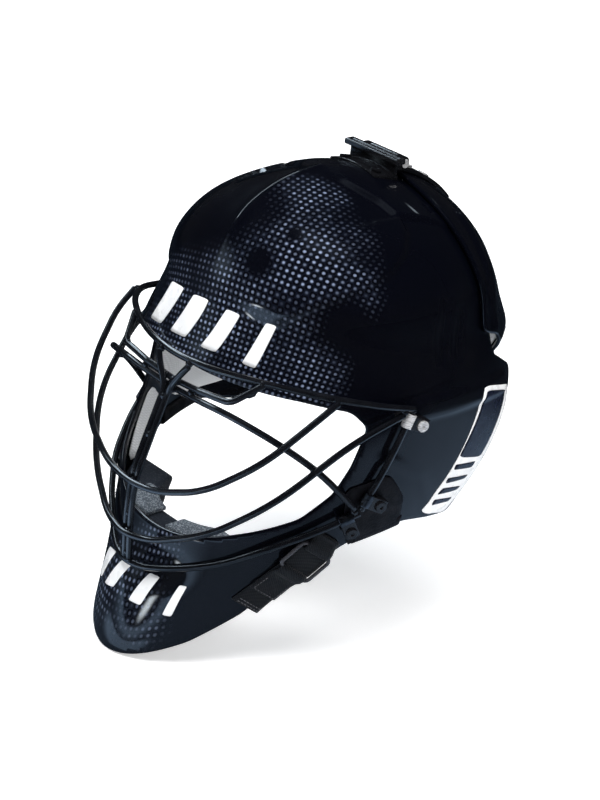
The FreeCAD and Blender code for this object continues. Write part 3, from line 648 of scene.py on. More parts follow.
def carbon_finish():
    """Clear lacquer over a navy-black weave, with painted glints of its crowns in patches."""
    f = Finish("carbon_laminate", (0.003, 0.004, 0.009), 0.34, Coat_Weight=1.0,
               Coat_Roughness=0.03, Coat_IOR=1.5, Specular_IOR_Level=0.12)
    turned = f.node("VectorRotate", {"Vector": f.uv()}, rotation_type="Z_AXIS",
                    Angle=math.radians(7)).outputs[0]
    cell = f.vector("SCALE", turned, scale=1 / WEAVE_PITCH)
    dot = f.ranged(f.off_middle(cell), 0.12, 0.34, 1.0, 0.0)

    def patches(spots):
        shade = f.spot(*spots[0])
        for spot in spots[1:]:
            shade = f.math("MAXIMUM", shade, f.spot(*spot))
        return shade

    painted_glint = f.math("MULTIPLY", patches(PAINTED_GLINTS), f.math("SUBTRACT", 1.0, patches(BLANKS)))
    broken = f.ranged(f.noise(30.0, 3.0), 0.36, 0.6, 0.16, 1.0)
    single = f.node("TexWhiteNoise", {"Vector": f.vector("FLOOR", cell)},
                    noise_dimensions="2D").outputs["Value"]
    painted_glint = f.math("MULTIPLY", painted_glint, broken)
    amount = f.math("MULTIPLY", f.math("MULTIPLY", dot, painted_glint),
                    f.ranged(single, 0.0, 1.0, 0.35, 1.0))
    checks = f.node("TexChecker", {"Vector": cell}, Scale=1.0,
                    Color1=rgb((0.0016, 0.002, 0.004)),
                    Color2=rgb((0.0034, 0.0046, 0.0095))).outputs["Color"]
    # Painted highlight: the weave's checks show only inside the painted glint patches, and the
    # glinting dots take a pale blue colour.
    base = f.mixed(f.ranged(painted_glint, 0.0, 0.3), (0.0012, 0.0015, 0.0035), checks)
    f.use("Base Color", f.mixed(amount, base, (0.22, 0.27, 0.4)))
    f.bump(f.math("MULTIPLY", dot, painted_glint), 0.00005, 0.4)
    f.use("Roughness", f.ranged(f.noise(30.0), 0.3, 0.7, 0.28, 0.42))
    return f.material


def plain_finish(name, colour, roughness, grain=900.0, coat=(0.0, 0.03)):
    """Moulded or painted surface with a fine grain and slightly uneven gloss."""
    f = Finish(name, colour, roughness, Coat_Weight=coat[0], Coat_Roughness=coat[1])
    lighter = tuple(min(1.0, c * 1.5 + 0.002) for c in colour)
    f.shade(f.noise(60.0, 4.0), 0.35, 0.75, colour, lighter)
    f.use("Roughness", f.ranged(f.noise(140.0, 3.0), 0.3, 0.7, roughness * 0.8,
                                roughness * 1.25))
    f.bump(f.noise(grain, 2.0), 0.00003)
    return f.material


def steel_finish(name, colour, roughness, metallic=1.0):
    """Metal with drawn lines and faint staining."""
    f = Finish(name, colour, roughness, Metallic=metallic)
    stretched = f.node("Mapping", {"Vector": f.place()}, Scale=(260, 260, 2200)).outputs[0]
    lines = f.noise(1.0, 3.0, stretched)
    f.shade(f.noise(180.0, 4.0), 0.35, 0.7, colour, tuple(c * 0.6 for c in colour))
    f.use("Roughness", f.ranged(lines, 0.3, 0.7, roughness * 0.7, roughness * 1.4))
    f.bump(lines, 0.00002, 0.6)
    return f.material


def webbing_finish():
    """Tight black nylon weave with ribs along the strap."""
    f = Finish("black_webbing", (0.005, 0.005, 0.007), 0.6, Sheen_Weight=0.06,
               Sheen_Roughness=0.4)
    cell = f.vector("MULTIPLY", f.uv(), (1 / 1.5, 1 / 1.05, 0))
    herring, ribs = [f.node("TexWave", {"Vector": cell}, Scale=0.5, wave_type="BANDS",
                            bands_direction=way, Distortion=bend).outputs["Fac"]
                     for way, bend in (("DIAGONAL", 0.6), ("Y", 0.0))]
    height = f.math("ADD", herring, f.math("MULTIPLY", ribs, 0.6))
    # Painted shade: the weave is darker where it dips between its ribs.
    f.shade(height, 0.3, 1.5, (0.0025, 0.003, 0.004), (0.011, 0.012, 0.015))
    f.bump(height, 0.00022)
    return f.material


def leather_finish():
    """Pebbled black leather with soft creases."""
    f = Finish("black_leather", (0.005, 0.005, 0.007), 0.42, Specular_IOR_Level=0.18)
    pebbles = f.voronoi(900.0, feature="SMOOTH_F1")["Distance"]
    creases = f.noise(120.0, 5.0)
    # Painted shade: darker where the creases dip.
    f.shade(creases, 0.3, 0.7, (0.003, 0.003, 0.0045), (0.009, 0.009, 0.012))
    f.use("Roughness", f.ranged(pebbles, 0.1, 0.6, 0.36, 0.55))
    f.bump(f.math("ADD", pebbles, f.math("MULTIPLY", creases, 0.8)), 0.00012)
    return f.material


def cloth_finish(name, colour, pitch, depth):
    """Knitted cover over foam."""
    f = Finish(name, colour, 0.85, Sheen_Weight=0.3, Sheen_Roughness=0.5)
    cell = f.vector("SCALE", f.uv(), scale=1 / pitch)
    loops = f.ranged(f.off_middle(cell), 0.1, 0.5, 1.0, 0.0)
    uneven = f.ranged(f.noise(25.0, 4.0), 0.3, 0.7, 0.35, 1.0)
    # Painted shade: darker between the loops, where the knit dips, with random unevenness from the
    # noise.
    f.use("Base Color", f.mixed(f.math("MULTIPLY", loops, uneven),
                                tuple(c * 0.78 for c in colour), colour))
    f.bump(f.math("ADD", loops, f.math("MULTIPLY", f.noise(70.0, 3.0), 1.5)), depth)
    return f.material


def foam_finish(name, colour, speck, amount):
    """Open foam; the specks are chips of another colour."""
    f = Finish(name, colour, 0.9)
    cells = f.voronoi(1500.0)
    value = f.node("SeparateColor", {"Color": cells["Color"]}).outputs[0]
    f.shade(value, 1.0 - amount, 1.04 - amount, colour, speck)
    f.bump(f.math("ADD", cells["Distance"], f.noise(300.0, 3.0)), 0.00025)
    return f.material


LAMINATE = carbon_finish()
HARDWARE = plain_finish("black_hardware", (0.004, 0.004, 0.005), 0.22, coat=(0.5, 0.12))
WIRE_PAINT = plain_finish("cage_wire", (0.003, 0.0035, 0.005), 0.2, 500.0, (0.8, 0.08))
BUCKLE_PAINT = plain_finish("buckle_wire", (0.03, 0.03, 0.035), 0.26, coat=(0.6, 0.1))
# Painted shade: the cheek and jaw clips get this darker steel, the alike upper clips the bright
# steel.
SHADED_CLIP_STEEL = steel_finish("clip_steel", (0.2, 0.21, 0.23), 0.34)
BRIGHT_STEEL = steel_finish("bright_steel", (0.86, 0.86, 0.87), 0.3, 0.5)
WEBBING = webbing_finish()
LEATHER = leather_finish()
PALE_CLOTH = cloth_finish("pale_foam", (0.74, 0.76, 0.78), 1.3, 0.00015)
BAND_CLOTH = cloth_finish("sweatband_cloth", (0.6, 0.62, 0.65), 1.0, 0.0003)
DARK_FOAM = foam_finish("dark_foam", (0.016, 0.020, 0.028), (0.04, 0.046, 0.058), 0.16)
SPECKLED_FOAM = foam_finish("speckled_foam", (0.07, 0.085, 0.105), (0.24, 0.27, 0.3), 0.36)
WHITE_FILM = plain_finish("white_film", (0.86, 0.87, 0.88), 0.3, 300.0, (0.4, 0.1))
NAVY_FILM = plain_finish("navy_film", (0.004, 0.006, 0.016), 0.3, 300.0, (0.4, 0.1))
THREAD = plain_finish("thread", (0.09, 0.09, 0.1), 0.6, 1500.0)


def finished(obj, material, slot, body="mask", stands_for=()):
    """Give a piece its material and its body, and hide the CAD nodes it stands for; slot is not
    used.
    """
    obj.data.materials.clear()
    obj.data.materials.append(material)
    if body:
        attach(obj, body)
    if stands_for:
        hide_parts(*stands_for)
    return obj


def pair(obj, name, material, slot, body="mask", stem=None):
    """Finish a left piece and make its twin on the right."""
    right = other_side(obj, name + "_right")
    for piece, side in ((obj, "left"), (right, "right")):
        finished(piece, material, slot, body + side if body.endswith("_") else body,
                 ["%s_%s" % (stem, side)] if stem else [])


# ---------------------------------------------------------------- shell and backplate
def to_line(points, path):
    """Distance of points to a polyline on either side, and the signed distance across it."""
    q = points.copy()
    q[:, 0] = np.abs(q[:, 0])
    best = np.full(len(q), 1e9)
    across = np.zeros(len(q))
    path = np.array(path, float)
    for a, b in zip(path[:-1], path[1:]):
        away = off_segment(q, a, b)
        size = np.linalg.norm(away, axis=1)
        lateral = np.cross(b - a, (a + b) / 2 - HEAD_MIDDLE)
        lateral = unit(lateral * (1 if lateral[0] > 0 else -1))
        across = np.where(size < best, away @ lateral, across)
        best = np.minimum(best, size)
    return best, across


def raised_along(points, path, height, reach, fade):
    """Flat-topped rib along a path, as wide as its reach each way and falling over its fade."""
    return height * smooth((reach - to_line(points, path)[0]) / fade)


RIDGE_HEIGHT = 2.6
DOME_HEIGHT = 2.8
FLUTE_DEPTH, FLUTE_WIDTH = 1.3, 3.6
BROW_CREASE = [(23, -11, 102), (39, -1, 95), (52, 3, 88), (63, -1, 81), (72, -10, 75),
               (78, -25, 67), (75, -47, 58), (70, -61, 53), (59, -80, 43)]
FLUTES = [[(94, 8, 45), (103, 4, 12)], [(95, 21, 39), (102, 17, 13)]]
TEMPLE_BEAD = [(108, -16, -14), (108, 10, -15), (105, 38, -15), (99, 66, -17)]
CHEEK_CREASE = [(105, -38, -42), (104, -8, -60), (99, 10, -92)]


def shell_relief(points):
    """Ridge over the brow, domed forehead, side flutes and the bead under the temple."""
    x, y, _ = points.T
    ridge = RIDGE_HEIGHT * np.exp(-(np.sqrt(x * x + 1.4) - 1.2) / 5)
    ridge *= smooth((-5 - y) / 12) * smooth((100 + y) / 30)
    away, across = to_line(points, BROW_CREASE)
    dome = DOME_HEIGHT * (1 - smooth((across + 2.5) / 7))
    dome = dome * np.exp(-(np.maximum(-across, 0) / 34) ** 2)
    dome *= np.exp(-(np.maximum(away - np.abs(across) - 1, 0) / 12) ** 2)
    relief = ridge + dome
    for flute in FLUTES:
        relief -= FLUTE_DEPTH * np.exp(-(to_line(points, flute)[0] / FLUTE_WIDTH) ** 2)
    relief += raised_along(points, TEMPLE_BEAD, 1.7, 9, 5)
    return relief + raised_along(points, CHEEK_CREASE, 0.9, 7, 6)


SPINE_HEIGHT = 2.2
LOW_RIB_HEIGHT = 1.8
REAR_RIB = [(51, 62, 80), (71, 60, 63), (88, 58, 39), (95, 60, 22)]
REAR_DISH = [(30, 86, 58), (60, 80, 46)]


def backplate_relief(points):
    """Raised spine, a rib down each side, a dish beside the spine and a low rib across."""
    x, y, z = points.T
    spine = SPINE_HEIGHT * smooth((16 - np.abs(x)) / 8) * smooth((y - 62) / 20)
    rib = raised_along(points, REAR_RIB, 2.0, 8, 5)
    dish = raised_along(points, REAR_DISH, 1.6, 13, 8)
    low = LOW_RIB_HEIGHT * smooth((9 - np.abs(z + 12 - 0.15 * y)) / 4) * smooth((y - 78) / 8)
    return spine + rib - dish + low


def constant(value):
    return lambda r, d: np.full(np.shape(r), float(value))


def in_region(*outlines, holes=(), low_x=None):
    def region(points):
        d = np.min([depth_inside(o, points) for o in outlines], axis=0)
        for hole in holes:
            d = np.minimum(d, -depth_inside(hole, points))
        if low_x is not None:
            d = np.minimum(d, points[..., 0] - low_x)
        return d
    return region


FULL_RING = np.arange(-180.0, 180.0, 1.25)
LEFT_SIDE = np.arange(2.0, 178.1, 1.5)
SHELL_ROWS = np.arange(0.1, 11.0, 0.055)

shell = layer("shell_laminate", SHELL_ROWS, FULL_RING, True,
              in_region(SHELL_OUTLINE, holes=[FACE_OUTLINE]), constant(0), constant(SHELL_T),
              raised=shell_relief, pole=True, chart=weave_chart)
finished(shell, LAMINATE, "carbon_laminate", stands_for=["mask_shell"])

back = layer("backplate_laminate", np.arange(0.5, 9.2, 0.055), np.arange(0.0, 360.0, 1.25), True,
             in_region(BACK_OUTLINE), lambda r, d: backplate_depth(r),
             lambda r, d: backplate_depth(r) + SHELL_T, raised=backplate_relief,
             chart=weave_chart)
finished(back, LAMINATE, "carbon_laminate", "backplate", ["backplate"])


# ---------------------------------------------------------------- markings on the laminate
FILM_LIFT = 0.22          # how far a marking stands over the laminate
STACKED_LIFT = 0.6        # and one that lies on another
FILM_SINK = 0.15          # how far its underside goes in
FILM_ROUNDING = 0.05


def film(name, corners, lift=FILM_LIFT, cells=(14, 10)):
    """Thin marking between four given corners (top left, top right, bottom right, left)."""
    top_left, top_right, low_right, low_left = [np.array(pinned(c), float) for c in corners]
    verts, faces = [], []
    wide, tall = cells
    for height in (lift, -FILM_SINK):
        for i in range(tall + 1):
            for j in range(wide + 1):
                # Squeezing the edge of the square towards a superellipse rounds its corners.
                a, b = 2 * (j / wide) - 1, 2 * (i / tall) - 1
                u = 0.5 + 0.5 * a * (1 - FILM_ROUNDING * abs(b) ** 6)
                v = 0.5 + 0.5 * b * (1 - FILM_ROUNDING * abs(a) ** 6)
                row, angle = blended(top_left, top_right, low_left, low_right, u, v)
                at = form(row, angle)
                verts.append(at + normals(row, angle) * (shell_relief(at[None])[0] + height))
    count = (wide + 1) * (tall + 1)
    for i in range(tall):
        for j in range(wide):
            k = i * (wide + 1) + j
            quad = [k, k + wide + 1, k + wide + 2, k + 1]
            faces += [quad, [q + count for q in reversed(quad)]]
    grid = np.arange(count).reshape(tall + 1, wide + 1)
    rim = np.concatenate([grid[0], grid[1:, -1], grid[-1, -2::-1], grid[-2:0:-1, 0]]).tolist()
    faces += [[p, q, q + count, p + count] for p, q in zip(rim, rim[1:] + rim[:1])]
    obj = solid(name, verts, faces)
    if obj.data.polygons[0].normal.dot(Vector(normals(*top_left))) < 0:
        obj.data.flip_normals()
    return obj


def slanted_bars(name, left, right, height, count, width, lean):
    """Row of plain leaning bars between two given middle points, each narrower than the last."""
    left, right = np.array(left, float), np.array(right, float)
    for i in range(count):
        middle = left + (right - left) * i / (count - 1)
        across = unit(right - left) * width * (1.0 - 0.17 * i) / 2
        up = np.array([0, 0, height / 2])
        shift = unit(right - left) * lean
        bar = film("%s_bar_%d" % (name, i + 1),
                   [middle - across + up + shift, middle + across + up + shift,
                    middle + across - up - shift, middle - across - up - shift])
        finished(bar, WHITE_FILM, None)


slanted_bars("brow_mark", (-36, -101, 20), (47, -95, 22), 29, 4, 18, 5)
slanted_bars("chin_mark", (-32, -137, -151), (34, -134, -146), 22, 4, 12, 4)
STRIP_CORNERS = np.array([(105, 38, -8), (94, 80, -22), (103, -2, -95), (96, 31, -104)])


def side_strips():
    """White strip along the rear edge of each cheek, navy inside its upper half."""
    # Each marking's two places across the strip, and how far down it each corner is.
    marks = [("cheek_strip", (0.02, 0.9), (0.03, 0.03, 0.97, 0.97), WHITE_FILM, FILM_LIFT,
              (16, 72)),
             ("cheek_strip_panel", (0.13, 0.79), (0.06, 0.06, 0.53, 0.53), NAVY_FILM,
              STACKED_LIFT, (16, 72))]
    for i in range(4):
        low = 0.58 + 0.09 * i
        marks.append(("cheek_dash_%d" % (i + 1), (0.2, 0.72),
                      (low, low - 0.02, low + 0.02, low + 0.04), NAVY_FILM, STACKED_LIFT, (6, 4)))
    for name, (a, b), downs, material, lift, cells in marks:
        corners = [blended(*STRIP_CORNERS, across, down)
                   for across, down in zip((a, b, b, a), downs)]
        pair(film(name + "_left", corners, lift, cells), name, material, None)


side_strips()


# ---------------------------------------------------------------- cage
WIRE_R = 2.1
BAR_OFFSET = 2.15
WIDEST_BEND = 400.0
WELD_GAP = 1.6            # widest gap between two wires that a bead closes
BEAD_SPACING = 5
BEAD_CLEARED = 9          # points each side of a bead that take no other from the same pair
TOP_WIRE = [(0, -120, 4), (28, -117, 5), (53, -108, 6), (79, -92, 5), (98, -72, 2),
            (108, -47, -4), (111.5, -26, -9)]
SIDE_WIRE = [(111.5, -26, -9), (109.5, -39, -41), (104.5, -55, -75)]
CHIN_WIRE = [(0, -148, -130), (12, -145, -130), (24, -139, -127), (37, -131, -123),
             (55, -119.5, -115), (75, -103, -101), (93, -78, -87), (104.5, -55, -75)]
BROW_LOOP = [(0, -120.2, -12.5), (25, -121.3, -10), (51, -118.5, -8), (63.5, -102, 6)]
CROSS_WIRE = [(0, -120.5, -18), (25, -122.5, -15.5), (55, -121, -14), (83, -105, -25),
              (95.5, -80, -46), (104.5, -55, -75)]
UPPER_HOOP = [(0, -151.5, -73), (25, -148, -71), (57, -139, -59), (84, -118, -34),
              (96, -92, -9), (99, -74, 3)]
LOWER_HOOP = [(0, -153.8, -108), (22, -148, -106), (56, -133, -91), (88, -109.5, -61),
              (105.5, -68, -24), (111.5, -28, -10)]
CENTRE_BAR = [(0, -125, -17), (0, -136, -45), (0, -147, -74), (0, -148.5, -103),
              (0, -147.5, -130)]
VEE_BAR = [(0, -125, -17), (7, -124, -6), (14, -121, 4)]


def bent(points, largest=WIDEST_BEND, spacing=2.5):
    """Points along straight runs joined by tangent arcs as large as the runs allow."""
    points = [np.array(p, float) for p in points]
    line = [points[0]]

    def run_to(stop):
        start = line[-1]
        count = max(1, int(np.linalg.norm(stop - start) / spacing))
        line.extend(start + (stop - start) * (k + 1) / count for k in range(count))

    for i in range(1, len(points) - 1):
        back, ahead = points[i - 1] - points[i], points[i + 1] - points[i]
        shorter = min(np.linalg.norm(back), np.linalg.norm(ahead))
        back, ahead = unit(back), unit(ahead)
        turn = math.pi - math.acos(np.clip(back @ ahead, -1, 1))
        if turn < 0.01:
            continue
        radius = min(0.45 * shorter / math.tan(turn / 2), largest)
        cut = radius * math.tan(turn / 2)
        centre = points[i] + unit(back + ahead) * (radius / math.cos(turn / 2))
        run_to(points[i] + back * cut)
        count = max(3, int(radius * turn / spacing))
        line += arc(centre, line[-1] - centre, points[i] + ahead * cut - centre, turn,
                    [(k + 1) / count for k in range(count)])
    run_to(points[-1])
    return np.array(line)


def across_face(half):
    half = [np.array(p, float) for p in half]
    return [p * (-1, 1, 1) for p in reversed(half[1:])] + half


ANY_SIDE = (0.31, 0.17, 0.93)   # a direction that no bar or thread runs along


def rod(name, line, radius, sides=14, cyclic=False):
    """Round bar along a line, with domed ends unless it is cyclic."""
    radii = [radius] * len(line)
    if cyclic:
        ahead = unit(np.roll(line, -1, axis=0) - np.roll(line, 1, axis=0))
    else:
        ahead = unit(np.gradient(line, axis=0))
        first, last = [[line[end] + ahead[end] * radius * t * 0.5 for t in parts]
                       for end, parts in ((0, (-0.97, -0.8, -0.45)), (-1, (0.45, 0.8, 0.97)))]
        dome = [radius * math.sqrt(1 - t * t) for t in (0.97, 0.8, 0.45)]
        line = np.concatenate([first, line, last])
        ahead = np.concatenate([[ahead[0]] * 3, ahead, [ahead[-1]] * 3])
        radii = dome + radii + dome[::-1]
    side = unit(np.cross(ahead[0], ANY_SIDE))
    verts = []
    for point, heading, r in zip(line, ahead, radii):
        side = unit(side - heading * (side @ heading))
        verts += ring(point, side, np.cross(heading, side), r, sides)
    shift = 0
    if cyclic:
        gaps = np.linalg.norm(np.array(verts[:sides]) - verts[-sides], axis=1)
        shift = int(np.argmin(gaps))
    return solid(name, verts, ring_faces(len(line), sides, cyclic, shift))


def shortened(line, first, last):
    """The line without the given lengths at its ends."""
    run = travelled(line)
    return line[(run >= first) & (run <= run[-1] - last)]


BEAD_R = 2.35
BEAD_RINGS, BEAD_SIDES = 7, 12


def weld_bead(centre, k):
    """Vertices and faces of a slightly lumpy ball."""
    verts = []
    for i in range(BEAD_RINGS, 0, -1):
        t = math.pi * i / (BEAD_RINGS + 1)
        for j in range(BEAD_SIDES):
            s = 2 * math.pi * j / BEAD_SIDES
            lump = 1 + 0.12 * math.sin(3 * s + k) * math.sin(2 * t + 2 * k)
            verts.append(centre + BEAD_R * lump * np.array(
                [math.sin(t) * math.cos(s), math.sin(t) * math.sin(s), math.cos(t)]))
    return verts, ring_faces(BEAD_RINGS, BEAD_SIDES)


def make_cage():
    """Wires as smooth bars, and the weld beads where they meet."""
    half_bar = [np.array(p) + (BAR_OFFSET, 0, 0) for p in reversed(VEE_BAR)][:-1]
    half_bar += [np.array(p) + (BAR_OFFSET, 0, 0) for p in CENTRE_BAR]
    touch = WIRE_R + 0.4
    wires = {"cage_" + name: shortened(bent(route, largest), trim, trim)
             for name, route, trim, largest in (
                 ("brow_wire", across_face(TOP_WIRE), 0, WIDEST_BEND),
                 ("side_wire_left", SIDE_WIRE, touch, WIDEST_BEND),
                 ("chin_wire", across_face(CHIN_WIRE), 0, WIDEST_BEND),
                 ("brow_loop", across_face(BROW_LOOP), touch, 9.0),
                 ("cross_wire", across_face(CROSS_WIRE), touch + 1, WIDEST_BEND),
                 ("upper_hoop", across_face(UPPER_HOOP), touch, WIDEST_BEND),
                 ("lower_hoop", across_face(LOWER_HOOP), touch + 1, WIDEST_BEND),
                 ("centre_bar_left", half_bar, touch, WIDEST_BEND))}
    for name in ("cage_side_wire", "cage_centre_bar"):
        wires[name + "_right"] = wires[name + "_left"] * (-1, 1, 1)
    for name, line in wires.items():
        obj = rod(name.replace("cage_", "wire_"), line, WIRE_R)
        finished(obj, WIRE_PAINT, "cage_wire", stands_for=[name])
    names = sorted(wires)
    beads = []
    for i, a in enumerate(names):
        for b in names[i + 1:]:
            gaps = np.linalg.norm(wires[a][:, None] - wires[b][None], axis=2)
            while True:
                p, q = np.unravel_index(np.argmin(gaps), gaps.shape)
                if gaps[p, q] > 2 * WIRE_R + WELD_GAP:
                    break
                beads.append((wires[a][p] + wires[b][q]) / 2)
                gaps[max(0, p - BEAD_CLEARED):p + BEAD_CLEARED + 1] = 99
    kept = []
    for bead in beads:
        if all(np.linalg.norm(bead - other) > BEAD_SPACING for other in kept):
            kept.append(bead)
    welds = joined("wire_welds", [weld_bead(bead, k) for k, bead in enumerate(kept)])
    finished(welds, WIRE_PAINT, "cage_wire")


make_cage()


# ---------------------------------------------------------------- hardware
def softened(node, name, voxel, passes=3):
    """Copy of a CAD solid with its edges rounded over."""
    obj = linked(name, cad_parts[node].data.copy())
    remesh = obj.modifiers.new("remesh", "REMESH")
    remesh.mode = "VOXEL"
    remesh.voxel_size = voxel * MM
    relax = obj.modifiers.new("relax", "SMOOTH")
    relax.factor, relax.iterations = 0.5, passes
    graph = bpy.context.evaluated_depsgraph_get()
    mesh = bpy.data.meshes.new_from_object(obj.evaluated_get(graph))
    obj.modifiers.clear()
    obj.data = mesh
    smoothed(mesh)
    return obj


def darkened(obj, choose):
    """Black the faces that choose picks from their middles, in millimetres."""
    obj.data.materials.append(HARDWARE)
    middles = np.array([tuple(face.center) for face in obj.data.polygons]) / MM
    obj.data.polygons.foreach_set("material_index", choose(middles).astype(np.int32))
    return obj


CLIP_SLEEVE_R = 3.7


def off_the_wire(points):
    """The legs of a clip, whose sleeve round the wire is bare steel."""
    return np.minimum(to_line(points, SIDE_WIRE)[0],
                      to_line(points, CHIN_WIRE)[0]) > CLIP_SLEEVE_R


for side in ("left", "right"):
    for place in ("upper", "cheek", "jaw"):
        node = "cage_clip_%s_%s" % (place, side)
        # Painted shade: the cheek and jaw clips take the darker steel.
        clip = finished(softened(node, "clip_%s_%s" % (place, side), 0.34),
                        BRIGHT_STEEL if place == "upper" else SHADED_CLIP_STEEL, "clip_steel",
                        stands_for=[node])
        darkened(clip, off_the_wire)
for node, name, voxel, material, slot, body in (
        ("crown_clip", "crown_clip_cover", 0.6, HARDWARE, "black_hardware", "mask"),
        ("rear_arm", "rear_arm_cover", 0.7, HARDWARE, "black_hardware", "backplate"),
        ("cage_clip_screws", "clip_screw_set", 0.28, BRIGHT_STEEL, "bright_steel", "mask"),
        ("cage_clip_nuts", "clip_nut_set", 0.35, BRIGHT_STEEL, "bright_steel", "mask"),
        ("crown_clip_screws", "crown_screw_set", 0.28, BRIGHT_STEEL, "bright_steel", "mask"),
        ("crown_clip_nuts", "crown_nut_set", 0.35, BRIGHT_STEEL, "bright_steel", "mask"),
        ("hinge_pin", "crown_pin", 0.3, BRIGHT_STEEL, "bright_steel", "mask"),
        ("rear_arm_rivets", "arm_rivet_set", 0.3, BRIGHT_STEEL, "bright_steel", "backplate")):
    obj = finished(softened(node, name, voxel, 2), material, slot, body, [node])
    if name == "clip_screw_set":
        darkened(obj, lambda points: points[:, 2] < -30)
    elif name == "crown_screw_set":
        darkened(obj, lambda points: points[:, 2] > 0)


# ---------------------------------------------------------------- jaw strap and buckle
BUCKLE_AT = np.array([-78.0, -108.5])
STRAP_RUN = np.array([-0.60, -0.80])
BUCKLE_LENGTH = 19.0
BUCKLE_WIDTH = 25.0
BUCKLE_WIRE_R = 1.2
BAR_HEIGHT = 3.9
WEBBING_W = 18.0
WEBBING_T = 1.35
LOOP_R = BUCKLE_WIRE_R + 0.25 + WEBBING_T / 2
BEND_START = 30           # where along the tail it begins to follow the buckle
SEAM_INSET = 1.6
STITCH_PITCH, STITCH_RISE = 2.0, 0.18

CHART_STEP = 2.0
CHART_LOW = np.array([-24.0, -12.0])
STRAP_CHART = np.array([[located(*(BUCKLE_AT + STRAP_RUN * (CHART_LOW[0] + CHART_STEP * i)
                                   + np.array([-STRAP_RUN[1], STRAP_RUN[0]])
                                   * (CHART_LOW[1] + CHART_STEP * j)))
                         for j in range(13)] for i in range(36)])


def strap_point(along_strap, aside, height):
    """Point over the shell, by the distances along and across the strap in side view."""
    spot = (np.array([along_strap, aside]) - CHART_LOW) / CHART_STEP
    i, j = np.floor(spot).astype(int)
    chart = STRAP_CHART
    row, angle = blended(chart[i, j], chart[i + 1, j], chart[i, j + 1], chart[i + 1, j + 1],
                         *(spot - (i, j)))
    return form(row, angle) + normals(row, angle) * height


def band(name, route, width, thickness):
    """Flat webbing along a route of (distance along the strap, height of its middle)."""
    route = np.array(route, float)
    steps = []
    for a, b in zip(route[:-1], route[1:]):
        count = max(1, int(np.linalg.norm(b - a) / 0.8))
        steps.extend(a + (b - a) * k / count for k in range(count))
    steps.append(route[-1])
    steps = np.array(steps)
    heading = unit(np.gradient(steps, axis=0))
    run = travelled(steps)
    offsets = np.linspace(-1, 1, 9)
    ends = [(t, 1) for t in offsets] + [(t, -1) for t in offsets[::-1]]
    verts, uvs = [], []
    for (d, h), (hd, hh) in zip(steps, heading):
        for t, face in ends:
            half = thickness / 2 * (1 - abs(t) ** 8 * 0.6)
            verts.append(strap_point(d - hh * half * face, t * width / 2, h + hd * half * face))
    for before, after in zip(run[:-1], run[1:]):
        for (t, _), (t2, _) in zip(ends, ends[1:] + ends[:1]):
            u, u2 = t * width / 2, t2 * width / 2
            uvs.append([(u, before), (u2, before), (u2, after), (u, after)])
    uvs += [[(0.0, 0.0)] * len(ends)] * 2
    obj = solid(name, verts, ring_faces(len(steps), len(ends)), uvs)
    outward = Vector(verts[4]) - Vector(verts[13])
    if obj.data.polygons[4].normal.dot(outward) < 0:
        obj.data.flip_normals()
    return obj


def loop(bar, sign):
    """Half turn of webbing round a buckle bar, from its underside to its top."""
    turns = np.linspace(0, math.pi, 11)
    return [(bar + sign * LOOP_R * math.sin(t), BAR_HEIGHT - LOOP_R * math.cos(t))
            for t in turns]


def stitches(name, lines, height):
    """Rows of short stitches; each line is two (distance, aside) ends."""
    lumps = []
    for a, b in lines:
        a, b = np.array(a, float), np.array(b, float)
        count = max(2, int(np.linalg.norm(b - a) / STITCH_PITCH))
        for k in range(count):
            p, q = a + (b - a) * (k + 0.18) / count, a + (b - a) * (k + 0.82) / count
            start, stop = (strap_point(s[0], s[1], height) for s in (p, q))
            middle = strap_point(*((p + q) / 2), height + STITCH_RISE)
            lumps.append(short_thread((start, middle, stop)))
    return joined(name, lumps)


def short_thread(line, radius=0.26, sides=6):
    """Vertices and faces of one stitch, thickest in its middle."""
    ahead = unit(line[-1] - line[0])
    side = unit(np.cross(ahead, ANY_SIDE))
    over = np.cross(ahead, side)
    verts = []
    for point, r in zip(line, (radius * 0.6, radius, radius * 0.6)):
        verts += ring(point, side, over, r, sides)
    return verts, ring_faces(len(line), sides)


def make_straps():
    half = BUCKLE_LENGTH / 2
    anchor = [(-19.5, 1.0), (-15, 1.0), (-12, 1.45)] + loop(-half, 1)
    anchor += [(-12, 5.3), (-14.5, 3.4), (-16.5, 2.55), (-19.5, 2.45)]
    tail = [(31, 2.4), (18, 2.5), (15, 3.3), (12.5, 5.3)] + loop(half, -1)[::-1]
    tail += [(12, 1.45), (15, 1.0), (44, 1.0)]
    anchor = band("strap_anchor_left", anchor, WEBBING_W, WEBBING_T)
    tail = band("strap_tail_left", tail, WEBBING_W, WEBBING_T)
    pair(anchor, "strap_anchor", WEBBING, "black_webbing", stem="jaw_strap_anchor")
    twin = other_side(tail, "strap_tail_right")
    for piece, side, sign in ((tail, "left", 1), (twin, "right", -1)):
        finished(piece, WEBBING, "black_webbing", None, ["jaw_strap_tail_" + side])
        start, end = [tuple(strap_point(along_strap, 0, 2) * (sign, 1, 1) * MM)
                      for along_strap in (BEND_START, half + 2)]
        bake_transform(piece)
        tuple(start)
        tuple(end)
    edge = WEBBING_W / 2 - SEAM_INSET
    seam = stitches("strap_seam_left", [((40, -edge), (40, edge)), ((42, -edge), (42, edge)),
                                        ((20, -edge), (30, -edge)), ((30, -edge), (30, edge)),
                                        ((30, edge), (20, edge))], 3.2)
    pair(seam, "strap_seam", THREAD, "black_webbing")
    backing = band("strap_backing_left", [(-7.4, 3.4), (7.4, 3.4)], 21.5, 1.0)
    pair(backing, "strap_backing", WEBBING, "black_webbing")


